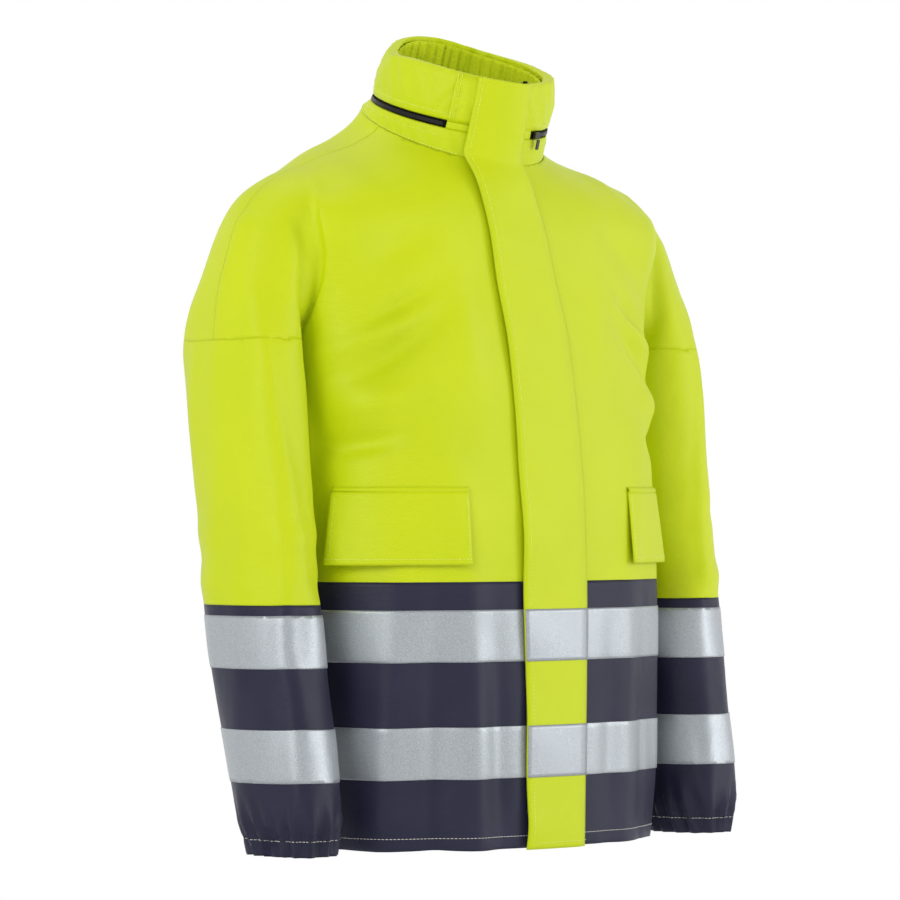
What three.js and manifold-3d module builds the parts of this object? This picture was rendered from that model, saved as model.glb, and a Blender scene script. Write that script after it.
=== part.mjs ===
// Foul weather jacket: a hip-length hooded shell in coated fabric, shown worn by an absent body.
// Millimetres, +Z up. The front faces -Y and the wearer's left is +X.
// The origin is the neck centre, level with the side neck points, where the wearer's shoulders carry it.
import * as THREE from "three";
import { mergeVertices } from "three/addons/utils/BufferGeometryUtils.js";
import Module from "manifold-3d";

const wasm = await Module();
wasm.setup();

// Overall sizes
const BODY_LENGTH = 695;        // hem to the side neck point
const CHEST_HALF_WIDTH = 207;
const CHEST_HALF_DEPTH = 143;
const ARMHOLE_DEPTH = 198;      // side neck point down to the underarm
const SHOULDER_HALF_WIDTH = 300;
const SLEEVE_LENGTH = 488;      // drop-shoulder seam to the cuff edge
const ARM_HALF_WIDTH = 46;
const ARM_HALF_DEPTH = 67;
const CUFF_HALF_WIDTH = 35;
const CUFF_HALF_DEPTH = 48;
const ARM_GAP = 8;              // between the body's side and the sleeve

// Cloth and clearances
const WALL = 2;                 // shell cloth with its lining
const TAPE = 0.8;               // reflective tape
const SEAM_GAP = 0.3;           // between solids that are sewn together
const SKIN_GAP = 0.4;           // under a piece laid on the cloth
const FACET_ROOM = 0.6;         // beside a curved neighbour whose facets differ

// Bands, measured up from the hem or the cuff
const TAPE_WIDTH = 50;
const TAPE_LOW = 68;
const TAPE_HIGH = 180;
const NAVY_TOP = 257;
const SLEEVE_TAPE_LOW = 69;
const SLEEVE_TAPE_HIGH = 176;
const SLEEVE_NAVY_TOP = 236;
const SIDE_SEAM_Y = 15;

// Collar
const COLLAR_TILT = 0.42;       // rise of the neck seam towards the back, per mm
const NECK_HALF_WIDTH = 90;
const NECK_HALF_DEPTH = 87;
const NECK_Y = 10;
const COLLAR_HEIGHT = 71;
const LINING_DEPTH = 12;        // how far the collar's inner facing lies inside its outer face
const HOOD_ZIP_HALF = 3.5;
const COLLAR_LEVEL = 25;        // height of one level of the collar at the hood zip

// Front closing
const EDGE_HALF_GAP = 4;        // each front's edge to the centre line
const ZIP_TAPE_WIDTH = 15.6;
const ZIP_TAPE_THICK = 1.3;
const TOOTH_WIDTH = 3;
const SLIDER_SIZE = [9, 3.4, 12];
const PULL_SIZE = [6, 1.2, 22];
const FLAP_STANDOFF = 4.5;      // room for the zip and the snap fasteners under the storm flap
const FLAP_THICK = 2.5;
const FLAP_FREE_X = -43;
const FLAP_SEWN_X = 42;
const FLAP_SEAM_WIDTH = 8;
const SNAP_RADIUS = 5;
const SNAP_X = -33;
const SNAP_HEIGHTS = [34, 150, 300, 440];

// Pockets
const POCKET_INNER_X = 106;
const POCKET_SIDE_Y = -46;      // the flap's outer end, wrapped round the side
const POCKET_TOP = 343;
const POCKET_FLAP_DROP = 70;
const POCKET_FLAP_THICK = 2;
const POCKET_WELT = 6;
const POCKET_BAG_DROP = 190;

// Shape of the lofts
const BODY_SIDES = 40;
const ARM_SIDES = 20;
const COLLAR_SIDES = 32;
const TRUNK_ROWS = 14;
const STUB_ROWS = 4;
const OVERRUN = 6;              // how far a cutting solid runs past the face that it opens
const FAR = 900;                // beyond the whole jacket

const UNDERARM_Z = BODY_LENGTH - ARMHOLE_DEPTH;
const SLEEVE_TOP_Z = UNDERARM_Z - 9;
const CUFF_Z = SLEEVE_TOP_Z - SLEEVE_LENGTH;
const ARM_X = CHEST_HALF_WIDTH + ARM_GAP + ARM_HALF_WIDTH;

const COLOURS = {
  yellow: { color: 0xcfe000, roughness: 0.55 },
  navy: { color: 0x22233a, roughness: 0.6 },
  tape: { color: 0xb4bac2, roughness: 0.35 },
  black: { color: 0x111111, roughness: 0.5 },
  metal: { color: 0x2a2a2c, roughness: 0.35, metalness: 0.6 },
  lining: { color: 0xb9c832, roughness: 0.8 },
};

const jacket = new THREE.Group();
jacket.position.z = -BODY_LENGTH;

// ---------- sections and lofts ----------

// A section is a ring {z, x, y, w, d, n, k}: centre (x, y), half-width w, half-depth d,
// squareness n (2 is an ellipse) and k, the rise of the ring towards the back.
function ringPoint(ring, angle, offset) {
  const power = 2 / ring.n;
  const across = Math.cos(angle);
  const along = Math.sin(angle);
  const x = Math.sign(across) * Math.abs(across) ** power * (ring.w + offset);
  const y = Math.sign(along) * Math.abs(along) ** power * (ring.d + offset);
  return new THREE.Vector3(ring.x + x, ring.y + y, ring.z + ring.k * y);
}

// Rings at level v of a list, where v counts rings; a smooth curve goes through them all.
function ringAt(rings, v) {
  const ring = {};
  const last = rings.length - 1;
  const index = Math.min(Math.max(Math.floor(v), 0), last - 1);
  const share = v - index;
  for (const key of Object.keys(rings[0])) {
    const p0 = rings[Math.max(index - 1, 0)][key];
    const p1 = rings[index][key];
    const p2 = rings[index + 1][key];
    const p3 = rings[Math.min(index + 2, last)][key];
    const slopeIn = (p2 - p0) / 2;
    const slopeOut = (p3 - p1) / 2;
    const s2 = share * share;
    const s3 = s2 * share;
    ring[key] = (2 * s3 - 3 * s2 + 1) * p1 + (s3 - 2 * s2 + share) * slopeIn
      + (3 * s2 - 2 * s3) * p2 + (s3 - s2) * slopeOut;
  }
  return ring;
}

// A closed solid from a grid of points: rows run around, columns along.
// "closed" joins the last row to the first; otherwise both ends are capped by the grid's own shape.
function solidFromLoops(loops, joined) {
  const positions = [];
  const indices = [];
  const size = loops[0].length;
  for (const loop of loops) {
    for (const point of loop) {
      positions.push(point.x, point.y, point.z);
    }
  }
  const bands = joined ? loops.length : loops.length - 1;
  for (let row = 0; row < bands; row += 1) {
    const next = (row + 1) % loops.length;
    for (let side = 0; side < size; side += 1) {
      const right = (side + 1) % size;
      const a = row * size + side;
      const b = row * size + right;
      const c = next * size + right;
      const d = next * size + side;
      indices.push(a, b, c, a, c, d);
    }
  }
  if (!joined) {
    addCap(indices, positions, loops[0], 0, false);
    addCap(indices, positions, loops[loops.length - 1], (loops.length - 1) * size, true);
  }
  const geometry = new THREE.BufferGeometry();
  geometry.setAttribute("position", new THREE.Float32BufferAttribute(positions, 3));
  geometry.setIndex(indices);
  return geometry;
}

// A fan round the loop's centre closes the end of a loft.
function addCap(indices, positions, loop, first, facingEnd) {
  const centre = new THREE.Vector3();
  for (const point of loop) {
    centre.addScaledVector(point, 1 / loop.length);
  }
  const middle = positions.length / 3;
  positions.push(centre.x, centre.y, centre.z);
  for (let side = 0; side < loop.length; side += 1) {
    const a = first + side;
    const b = first + (side + 1) % loop.length;
    if (facingEnd) {
      indices.push(a, b, middle);
    } else {
      indices.push(b, a, middle);
    }
  }
}

function loftSolid(rings, sides, offset) {
  const loops = rings.map((ring) => {
    const loop = [];
    for (let side = 0; side < sides; side += 1) {
      loop.push(ringPoint(ring, (2 * Math.PI * side) / sides, offset));
    }
    return loop;
  });
  return toManifold(solidFromLoops(loops, false));
}

// Four corner points of a wall's section, repeated along a path, make a closed band of cloth.
// from and to are angles on the rings; a full turn makes a ring of cloth.
function bandSolid(rings, from, to, steps, outer, inner) {
  const full = Math.abs(to - from - 2 * Math.PI) < 1e-9;
  const loops = [];
  const count = full ? steps : steps + 1;
  for (let step = 0; step < count; step += 1) {
    const angle = from + ((to - from) * step) / steps;
    const up = rings.map((ring) => ringPoint(ring, angle, inner));
    const down = rings.map((ring) => ringPoint(ring, angle, outer)).reverse();
    loops.push(up.concat(down));
  }
  return toManifold(solidFromLoops(loops, full));
}

function toManifold(geometry) {
  const source = geometry.clone();
  source.deleteAttribute("normal");
  source.deleteAttribute("uv");
  const merged = mergeVertices(source, 1e-4);
  const mesh = new wasm.Mesh({
    numProp: 3,
    vertProperties: new Float32Array(merged.attributes.position.array),
    triVerts: new Uint32Array(merged.index.array),
  });
  return new wasm.Manifold(mesh);
}

function toGeometry(solid) {
  const mesh = solid.getMesh();
  const geometry = new THREE.BufferGeometry();
  geometry.setAttribute("position", new THREE.BufferAttribute(mesh.vertProperties, 3));
  geometry.setIndex(new THREE.BufferAttribute(mesh.triVerts, 1));
  return geometry;
}

function boxSolid(low, high) {
  const size = high.map((value, axis) => value - low[axis]);
  const geometry = new THREE.BoxGeometry(size[0], size[1], size[2]);
  geometry.translate(low[0] + size[0] / 2, low[1] + size[1] / 2, low[2] + size[2] / 2);
  return toManifold(geometry);
}

// An outline seen from the front, in x and z, pushed through the front half of the body.
function frontPrism(points) {
  const shape = new THREE.Shape(points.map(([x, z]) => new THREE.Vector2(x, z)));
  const geometry = new THREE.ExtrudeGeometry(shape, { depth: FAR, bevelEnabled: false });
  geometry.rotateX(Math.PI / 2);
  return toManifold(geometry);
}

function addPiece(name, finish, solid) {
  const material = new THREE.MeshStandardMaterial(COLOURS[finish]);
  const piece = new THREE.Mesh(toGeometry(solid), material);
  piece.name = name;
  jacket.add(piece);
}

// ---------- the body: trunk, shoulders and the tops of the arms ----------

function resample(rings, steps) {
  const levels = [];
  const last = rings.length - 1;
  for (let step = 0; step <= steps; step += 1) {
    levels.push(ringAt(rings, (last * step) / steps));
  }
  return levels;
}

const CHEST_DRAW = 19;          // how much the chest's front leans back by the underarm
const neckRing = {
  z: BODY_LENGTH + COLLAR_TILT * NECK_Y,
  x: 0,
  y: NECK_Y,
  w: NECK_HALF_WIDTH,
  d: NECK_HALF_DEPTH,
  n: 2,
  k: COLLAR_TILT,
};
// Each shoulder ring: its share of the armhole's height, its share of the way in from the
// shoulder's full width, its share of the way from chest depth to neck depth, its squareness.
const shoulderRings = [
  [0, 0.44, 0, 2.7],
  [0.32, 0.4, 0.33, 2.5],
  [0.57, 0.38, 0.5, 2.35],
  [0.77, 0.57, 0.7, 2.15],
  [0.92, 0.84, 0.87, 2],
].map(([height, inward, shallow, squareness]) => ({
  z: UNDERARM_Z + ARMHOLE_DEPTH * height,
  x: 0,
  y: NECK_Y,
  w: THREE.MathUtils.lerp(SHOULDER_HALF_WIDTH, NECK_HALF_WIDTH, inward),
  d: THREE.MathUtils.lerp(CHEST_HALF_DEPTH - CHEST_DRAW, NECK_HALF_DEPTH, shallow),
  n: squareness,
  k: COLLAR_TILT * shallow ** 2,
}));
shoulderRings[0].w = CHEST_HALF_WIDTH - 2;
const trunkRings = [
  { z: 0, x: 0, y: 1, w: CHEST_HALF_WIDTH - 9, d: CHEST_HALF_DEPTH - 2, n: 2.6, k: 0 },
  { z: NAVY_TOP, x: 0, y: 3, w: CHEST_HALF_WIDTH, d: CHEST_HALF_DEPTH, n: 2.8, k: 0 },
  { z: POCKET_TOP + 30, x: 0, y: 5, w: CHEST_HALF_WIDTH, d: CHEST_HALF_DEPTH - 5, n: 2.8, k: 0 },
].concat(shoulderRings, [neckRing]);

// Each arm ring: its share of the sleeve's length, how far its centre stands out past the
// sleeve's line, its centre's y, and its width and depth as shares of the full sleeve.
const armRings = [
  [1.34, -120, 16, 0.5, 0.4],
  [1.26, -55, 18, 0.9, 0.62],
  [1.13, -21, 20, 1.02, 0.92],
  [1, 0, 20, 1, 1.04],
  [0.88, 0, 12, 1, 1.03],
  [0.41, 3, -19, 0.98, 0.97],
].map(([height, outward, forward, width, depth]) => ({
  z: CUFF_Z + SLEEVE_LENGTH * height,
  x: ARM_X + outward,
  y: forward,
  w: ARM_HALF_WIDTH * width,
  d: ARM_HALF_DEPTH * depth,
  n: 2.2,
  k: 0,
})).concat([
  { z: CUFF_Z + 46, x: ARM_X - 1, y: -50, w: ARM_HALF_WIDTH * 0.93, d: ARM_HALF_DEPTH * 0.88, n: 2.2, k: 0 },
  { z: CUFF_Z + 14, x: ARM_X - 2, y: -55, w: CUFF_HALF_WIDTH, d: CUFF_HALF_DEPTH, n: 2.2, k: 0 },
  { z: CUFF_Z, x: ARM_X - 2, y: -56, w: CUFF_HALF_WIDTH + 1, d: CUFF_HALF_DEPTH + 1, n: 2.2, k: 0 },
]);
const ARM_SEAM_LEVEL = 3;       // the arm ring that lies at the drop-shoulder seam

function mirrored(ring, side) {
  return { ...ring, x: ring.x * side };
}

// The whole trunk and shoulders as one solid, swollen by offset. The overrun opens hem and neck.
function bodySolid(offset, overrun) {
  const trunk = resample(trunkRings, TRUNK_ROWS);
  trunk[0] = { ...trunk[0], z: -overrun };
  trunk.push({ ...neckRing, z: neckRing.z + overrun + 0.01 });
  let solid = loftSolid(trunk, BODY_SIDES, offset);
  for (const side of [-1, 1]) {
    const stub = [{ ...armRings[ARM_SEAM_LEVEL], z: SLEEVE_TOP_Z - overrun }];
    for (let row = STUB_ROWS; row >= 0; row -= 1) {
      stub.push(ringAt(armRings, ((ARM_SEAM_LEVEL - 0.2) * row) / STUB_ROWS));
    }
    solid = solid.add(loftSolid(stub.map((ring) => mirrored(ring, side)), ARM_SIDES, offset));
  }
  return solid;
}

const swollen = new Map();
function bodyAt(offset, overrun) {
  const key = `${offset} ${overrun}`;
  if (!swollen.has(key)) {
    swollen.set(key, bodySolid(offset, overrun));
  }
  return swollen.get(key);
}

// A layer of cloth that follows the body between two offsets, kept inside a region.
function bodyLayer(inner, outer, region) {
  return bodyAt(outer, 0).intersect(region).subtract(bodyAt(inner, OVERRUN));
}

function frontRegion(side, low, high, edge) {
  const near = side * edge;
  const far = side * FAR;
  return boxSolid(
    [Math.min(near, far), -FAR, low],
    [Math.max(near, far), SIDE_SEAM_Y - SEAM_GAP / 2, high],
  );
}

function backRegion(low, high) {
  return boxSolid([-FAR, SIDE_SEAM_Y + SEAM_GAP / 2, low], [FAR, FAR, high]);
}

const trunkOnly = [-CHEST_HALF_WIDTH - ARM_GAP / 2, CHEST_HALF_WIDTH + ARM_GAP / 2];
const SIDES = { right: -1, left: 1 };

for (const [name, side] of Object.entries(SIDES)) {
  const upper = frontRegion(side, NAVY_TOP + SEAM_GAP / 2, FAR, EDGE_HALF_GAP)
    .subtract(boxSolid([-FAR, -FAR, -FAR], [trunkOnly[0], FAR, SLEEVE_TOP_Z + SEAM_GAP / 2]))
    .subtract(boxSolid([trunkOnly[1], -FAR, -FAR], [FAR, FAR, SLEEVE_TOP_Z + SEAM_GAP / 2]));
  addPiece(`${name}_front_upper`, "yellow", bodyLayer(-WALL, 0, upper));
  const lower = frontRegion(side, 0, NAVY_TOP - SEAM_GAP / 2, EDGE_HALF_GAP);
  addPiece(`${name}_front_lower`, "navy", bodyLayer(-WALL, 0, lower));
}
const backUpper = backRegion(NAVY_TOP + SEAM_GAP / 2, FAR)
  .subtract(boxSolid([-FAR, -FAR, -FAR], [trunkOnly[0], FAR, SLEEVE_TOP_Z + SEAM_GAP / 2]))
  .subtract(boxSolid([trunkOnly[1], -FAR, -FAR], [FAR, FAR, SLEEVE_TOP_Z + SEAM_GAP / 2]));
addPiece("back_upper", "yellow", bodyLayer(-WALL, 0, backUpper));
addPiece("back_lower", "navy", bodyLayer(-WALL, 0, backRegion(0, NAVY_TOP - SEAM_GAP / 2)));

for (const [level, low] of [["upper", TAPE_HIGH], ["lower", TAPE_LOW]]) {
  for (const [name, side] of Object.entries(SIDES)) {
    const region = frontRegion(side, low, low + TAPE_WIDTH, EDGE_HALF_GAP);
    addPiece(`${name}_body_tape_${level}`, "tape", bodyLayer(SKIN_GAP, SKIN_GAP + TAPE, region));
  }
  const region = backRegion(low, low + TAPE_WIDTH);
  addPiece(`back_body_tape_${level}`, "tape", bodyLayer(SKIN_GAP, SKIN_GAP + TAPE, region));
}

// ---------- sleeves ----------

// Every layer of a sleeve has its rings at the same heights above the cuff edge, so that
// layers with different offsets stay parallel.
const ELASTIC_TOP = 17;
const ELASTIC_LOW = 3;
const armHeights = [
  ELASTIC_LOW,
  ELASTIC_TOP,
  ELASTIC_TOP + 28,
  SLEEVE_TAPE_LOW,
  SLEEVE_TAPE_LOW + TAPE_WIDTH,
  SLEEVE_TAPE_HIGH,
  SLEEVE_TAPE_HIGH + TAPE_WIDTH,
  SLEEVE_NAVY_TOP,
].concat([1, 2, 3].map((step) => (
  THREE.MathUtils.lerp(SLEEVE_NAVY_TOP, SLEEVE_LENGTH, step / 4)
)));

function armBand(side, low, high, inner, outer) {
  const heights = [low, ...armHeights.filter((height) => height > low + 1 && height < high - 1), high];
  const rings = heights.map((height) => mirrored(ringAt(armRings, armLevel(CUFF_Z + height)), side));
  return bandSolid(rings, 0, 2 * Math.PI, ARM_SIDES, outer, inner);
}

// The level of the arm's ring list that lies at height z, by halving; the list runs downwards.
function armLevel(z) {
  let low = 0;
  let high = armRings.length - 1;
  for (let turn = 0; turn < 30; turn += 1) {
    const middle = (low + high) / 2;
    if (ringAt(armRings, middle).z > z) {
      low = middle;
    } else {
      high = middle;
    }
  }
  return low;
}

const ELASTIC_THICK = 1.5;
for (const [name, side] of Object.entries(SIDES)) {
  const top = SLEEVE_LENGTH - SEAM_GAP / 2;
  const split = SLEEVE_NAVY_TOP;
  addPiece(`${name}_sleeve_upper`, "yellow", armBand(side, split + SEAM_GAP / 2, top, -WALL, 0));
  addPiece(`${name}_sleeve_lower`, "navy", armBand(side, 0, split - SEAM_GAP / 2, -WALL, 0));
  for (const [level, low] of [["upper", SLEEVE_TAPE_HIGH], ["lower", SLEEVE_TAPE_LOW]]) {
    const tape = armBand(side, low, low + TAPE_WIDTH, SKIN_GAP, SKIN_GAP + TAPE);
    addPiece(`${name}_sleeve_tape_${level}`, "tape", tape);
  }
  const outer = -WALL - SEAM_GAP;
  const elastic = armBand(side, ELASTIC_LOW, ELASTIC_TOP, outer - ELASTIC_THICK, outer);
  addPiece(`${name}_cuff_elastic`, "navy", elastic);
}

// ---------- collar with its packed hood ----------

const ZIP_TILT = 0.3;
const collarRings = [
  neckRing,
  { z: BODY_LENGTH + 22, x: 0, y: -1, w: NECK_HALF_WIDTH - 2, d: (NECK_HALF_WIDTH - 2) / Math.hypot(1, ZIP_TILT), n: 2, k: ZIP_TILT },
  { z: BODY_LENGTH + 49, x: 0, y: -9, w: NECK_HALF_WIDTH - 5, d: NECK_HALF_DEPTH - 5, n: 2, k: 0.33 },
  { z: BODY_LENGTH + COLLAR_HEIGHT + 4, x: 0, y: -16, w: NECK_HALF_WIDTH - 8, d: NECK_HALF_DEPTH - 7, n: 2, k: 0.36 },
];
const COLLAR_LEVELS = collarRings.length - 1;

// Angles run from the front centre, positive to the wearer's left, and the front is at -90 degrees.
const FRONT_ANGLE = -Math.PI / 2;
function edgeAngle(halfGap) {
  return Math.asin(halfGap / NECK_HALF_WIDTH);
}

function collarBand(fromLevel, toLevel, fromAngle, toAngle, inner, outer, steps) {
  const between = [0, 1, 2, 3].filter((level) => level > fromLevel + 0.05 && level < toLevel - 0.05);
  const rings = [fromLevel, ...between, toLevel].map((level) => ringAt(collarRings, level));
  return bandSolid(rings, FRONT_ANGLE + fromAngle, FRONT_ANGLE + toAngle, steps, outer, inner);
}

const FULL = 2 * Math.PI;
const opening = edgeAngle(EDGE_HALF_GAP);
const LEVEL_GAP = 0.02;         // about 0.4 mm of collar height
const zipLow = 1 - HOOD_ZIP_HALF / COLLAR_LEVEL;
const zipHigh = 1 + HOOD_ZIP_HALF / COLLAR_LEVEL;
const collarAround = (from, to, inner, outer, edge = opening) => (
  collarBand(from, to, edge, FULL - edge, inner, outer, COLLAR_SIDES)
);
const HOOD_ZIP_START = 0.21;    // angle of its closed end, left of the front
const HOOD_ZIP_END = 0.86;      // angle of its squared end, right of the front
addPiece("collar_lower", "yellow", collarAround(LEVEL_GAP, zipLow, -WALL, 0));
addPiece("collar_upper", "yellow", collarAround(zipHigh, COLLAR_LEVELS, -WALL, 0));
addPiece("hood_zip_tape", "black", collarBand(
  zipLow + LEVEL_GAP,
  zipHigh - LEVEL_GAP,
  HOOD_ZIP_START,
  FULL - HOOD_ZIP_END,
  -WALL,
  1,
  COLLAR_SIDES,
));
addPiece("packed_hood", "yellow", collarAround(
  zipHigh,
  COLLAR_LEVELS,
  -LINING_DEPTH + WALL + FACET_ROOM,
  -WALL - FACET_ROOM,
  edgeAngle(ZIP_TAPE_WIDTH + 2),
));
addPiece("collar_lining", "lining", collarAround(0.5, COLLAR_LEVELS, -LINING_DEPTH, -LINING_DEPTH + WALL));

// The hanging loop is a short strap across the inside of the collar's back.
const LOOP_ANGLE = 0.3;
const loopFace = -LINING_DEPTH - FACET_ROOM;
const LOOP_THICK = 1.6;
addPiece("hang_loop", "black", collarBand(
  0.9,
  1.3,
  Math.PI - LOOP_ANGLE,
  Math.PI + LOOP_ANGLE,
  loopFace - LOOP_THICK,
  loopFace,
  6,
));

// The facing strip stands on the collar's right end, under the storm flap's edge.
const FACING_FROM = FULL - 0.8;
const FACING_TO = FULL - 0.62;
addPiece("collar_facing", "yellow", collarBand(
  zipHigh,
  COLLAR_LEVELS - 0.1,
  FACING_FROM,
  FACING_TO,
  SKIN_GAP,
  SKIN_GAP + 1,
  4,
));

// ---------- front zip ----------

const zipOuter = -WALL - SEAM_GAP;
const ZIP_FOOT = 10;
for (const [name, side] of Object.entries(SIDES)) {
  const strip = (near, far) => boxSolid(
    [Math.min(side * near, side * far), -FAR, ZIP_FOOT],
    [Math.max(side * near, side * far), 0, FAR],
  );
  const tape = bodyLayer(zipOuter - ZIP_TAPE_THICK, zipOuter, strip(SEAM_GAP, ZIP_TAPE_WIDTH));
  const teeth = bodyLayer(zipOuter - ZIP_TAPE_THICK, -SEAM_GAP, strip(SEAM_GAP, TOOTH_WIDTH));
  const collarPart = (near, far, inner, outer) => {
    const ends = [side * edgeAngle(near), side * edgeAngle(far)];
    const [from, to] = ends.sort((a, b) => a - b);
    return collarBand(LEVEL_GAP, COLLAR_LEVELS - 0.05, from, to, inner, outer, 2);
  };
  addPiece(`front_zip_${name}`, "black", tape.add(teeth));
  const collarZipOuter = zipOuter - FACET_ROOM;
  const collarTape = collarPart(SEAM_GAP, ZIP_TAPE_WIDTH, collarZipOuter - ZIP_TAPE_THICK, collarZipOuter);
  const collarTeeth = collarPart(SEAM_GAP * 2, TOOTH_WIDTH, collarZipOuter - ZIP_TAPE_THICK / 2, -SEAM_GAP);
  addPiece(`collar_zip_${name}`, "black", collarTape.add(collarTeeth));
}

// The collar's front line leans forward; pieces on it are placed in its own frame.
const collarTopFront = ringPoint(ringAt(collarRings, COLLAR_LEVELS), FRONT_ANGLE, 0);
const collarFootFront = ringPoint(ringAt(collarRings, 1), FRONT_ANGLE, 0);
const collarLean = Math.atan2(collarFootFront.y - collarTopFront.y, collarTopFront.z - collarFootFront.z);
const SLIDER_BELOW_TOP = 8;
const SLIDER_CLEARANCE = 0.7;

function onCollarFront(down, out) {
  const along = new THREE.Vector3(0, Math.sin(collarLean), -Math.cos(collarLean));
  const outward = new THREE.Vector3(0, -Math.cos(collarLean), -Math.sin(collarLean));
  return collarTopFront.clone().addScaledVector(along, down).addScaledVector(outward, out);
}

function addBlock(name, finish, size, place, turn) {
  const outline = new THREE.Shape();
  const corner = Math.min(size[0], size[2]) / 4;
  const halfWidth = size[0] / 2;
  const halfHeight = size[2] / 2;
  outline.moveTo(-halfWidth + corner, -halfHeight);
  outline.lineTo(halfWidth - corner, -halfHeight);
  outline.quadraticCurveTo(halfWidth, -halfHeight, halfWidth, -halfHeight + corner);
  outline.lineTo(halfWidth, halfHeight - corner);
  outline.quadraticCurveTo(halfWidth, halfHeight, halfWidth - corner, halfHeight);
  outline.lineTo(-halfWidth + corner, halfHeight);
  outline.quadraticCurveTo(-halfWidth, halfHeight, -halfWidth, halfHeight - corner);
  outline.lineTo(-halfWidth, -halfHeight + corner);
  outline.quadraticCurveTo(-halfWidth, -halfHeight, -halfWidth + corner, -halfHeight);
  const geometry = new THREE.ExtrudeGeometry(outline, { depth: size[1], bevelEnabled: false, curveSegments: 3 });
  geometry.translate(0, 0, -size[1] / 2);
  geometry.rotateX(Math.PI / 2);
  const piece = new THREE.Mesh(toGeometry(toManifold(geometry)), new THREE.MeshStandardMaterial(COLOURS[finish]));
  piece.name = name;
  piece.position.copy(place);
  piece.rotation.copy(turn);
  jacket.add(piece);
}

const sliderOut = SLIDER_CLEARANCE + SLIDER_SIZE[1] / 2;
const pullOut = SLIDER_CLEARANCE + PULL_SIZE[1] / 2 + FACET_ROOM;
const pullDown = SLIDER_BELOW_TOP + SLIDER_SIZE[2] / 2 + SEAM_GAP + PULL_SIZE[2] / 2;
const leanTurn = new THREE.Euler(collarLean, 0, 0);
addBlock("front_zip_slider", "metal", SLIDER_SIZE, onCollarFront(SLIDER_BELOW_TOP, sliderOut), leanTurn);
addBlock("front_zip_pull", "metal", PULL_SIZE, onCollarFront(pullDown, pullOut), leanTurn);

const RETAINER_SIZE = [2 * (EDGE_HALF_GAP - SEAM_GAP), 3, 9];
const retainerPlace = new THREE.Vector3(0, trunkFront(0, ZIP_FOOT / 2) + WALL / 2, ZIP_FOOT / 2);
addBlock("front_zip_retainer", "metal", RETAINER_SIZE, retainerPlace, new THREE.Euler());

// The hood zip's slider and pull stand at its closed end, left of the front, in its ring's plane.
const SMALL_SLIDER = [9, 2.6, 6.4];
const SMALL_PULL = [4.5, 1.2, 10];
const PULL_STEP_OUT = 2.7;      // the pull stands in front of the slider's body
const ZIP_PLANE = Math.atan(ZIP_TILT);
const SLIDER_ANGLE = 0.3;
const hoodRing = collarRings[1];
const hoodTurn = new THREE.Euler(ZIP_PLANE, 0, SLIDER_ANGLE);

function onHoodZip(down, out) {
  const outward = new THREE.Vector3(0, -1, 0).applyEuler(hoodTurn);
  const upward = new THREE.Vector3(0, 0, 1).applyEuler(hoodTurn);
  const centre = new THREE.Vector3(hoodRing.x, hoodRing.y, hoodRing.z);
  return centre.addScaledVector(outward, hoodRing.w + out).addScaledVector(upward, -down);
}

const hoodSliderOut = 1 + SLIDER_CLEARANCE + SMALL_SLIDER[1] / 2;
addBlock("hood_zip_slider", "metal", SMALL_SLIDER, onHoodZip(0, hoodSliderOut), hoodTurn);
const hoodPullDown = (SMALL_SLIDER[2] + SMALL_PULL[2]) / 2 + SEAM_GAP;
const hoodPullPlace = onHoodZip(hoodPullDown, hoodSliderOut + PULL_STEP_OUT);
addBlock("hood_zip_pull", "metal", SMALL_PULL, hoodPullPlace, hoodTurn);

// ---------- storm flap ----------

// Half outline of the flap on the trunk, from hem to neck: height, free edge, sewn edge.
const FLAP_LOW = 1;
const flapStations = [
  [FLAP_LOW, FLAP_FREE_X + 2, FLAP_SEWN_X - 3],
  [NAVY_TOP, FLAP_FREE_X, FLAP_SEWN_X],
  [UNDERARM_Z, FLAP_FREE_X - 1, FLAP_SEWN_X],
  [UNDERARM_Z + 100, FLAP_FREE_X - 5, FLAP_SEWN_X - 12],
  [BODY_LENGTH - 18, FLAP_FREE_X - 9, FLAP_SEWN_X - 27],
];
const flapOutline = flapStations.map(([z, free]) => [free, z])
  .concat(flapStations.map(([z, , sewn]) => [sewn, z]).reverse());
const flapPrism = frontPrism(flapOutline);
const flapInner = FLAP_STANDOFF;
const flapOuter = FLAP_STANDOFF + FLAP_THICK;
const FLAP_COLLAR_FREE = -0.62; // angles of the flap's collar part
const FLAP_COLLAR_SEWN = 0.1;
const trunkFlap = bodyLayer(flapInner, flapOuter, flapPrism);
const collarFlap = collarBand(
  -0.35,
  COLLAR_LEVELS,
  FLAP_COLLAR_FREE,
  FLAP_COLLAR_SEWN,
  flapInner,
  flapOuter,
  8,
);
addPiece("storm_flap", "yellow", trunkFlap.add(collarFlap));

for (const [level, low] of [["upper", TAPE_HIGH], ["lower", TAPE_LOW]]) {
  const slab = boxSolid([-FAR, -FAR, low], [FAR, 0, low + TAPE_WIDTH]);
  const region = flapPrism.intersect(slab);
  const inner = flapOuter + SEAM_GAP;
  addPiece(`storm_flap_tape_${level}`, "tape", bodyLayer(inner, inner + TAPE, region));
}

// The seam strip is the flap's folded allowance, stitched to the left front.
const seamPrism = flapPrism.intersect(boxSolid(
  [FLAP_SEWN_X - FLAP_SEAM_WIDTH, -FAR, FLAP_LOW],
  [FAR, 0, UNDERARM_Z],
));
const seamInner = SKIN_GAP + TAPE + SEAM_GAP;
addPiece("storm_flap_seam", "yellow", bodyLayer(seamInner, FLAP_STANDOFF - SEAM_GAP, seamPrism));

// ---------- snap fasteners under the flap ----------

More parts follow.
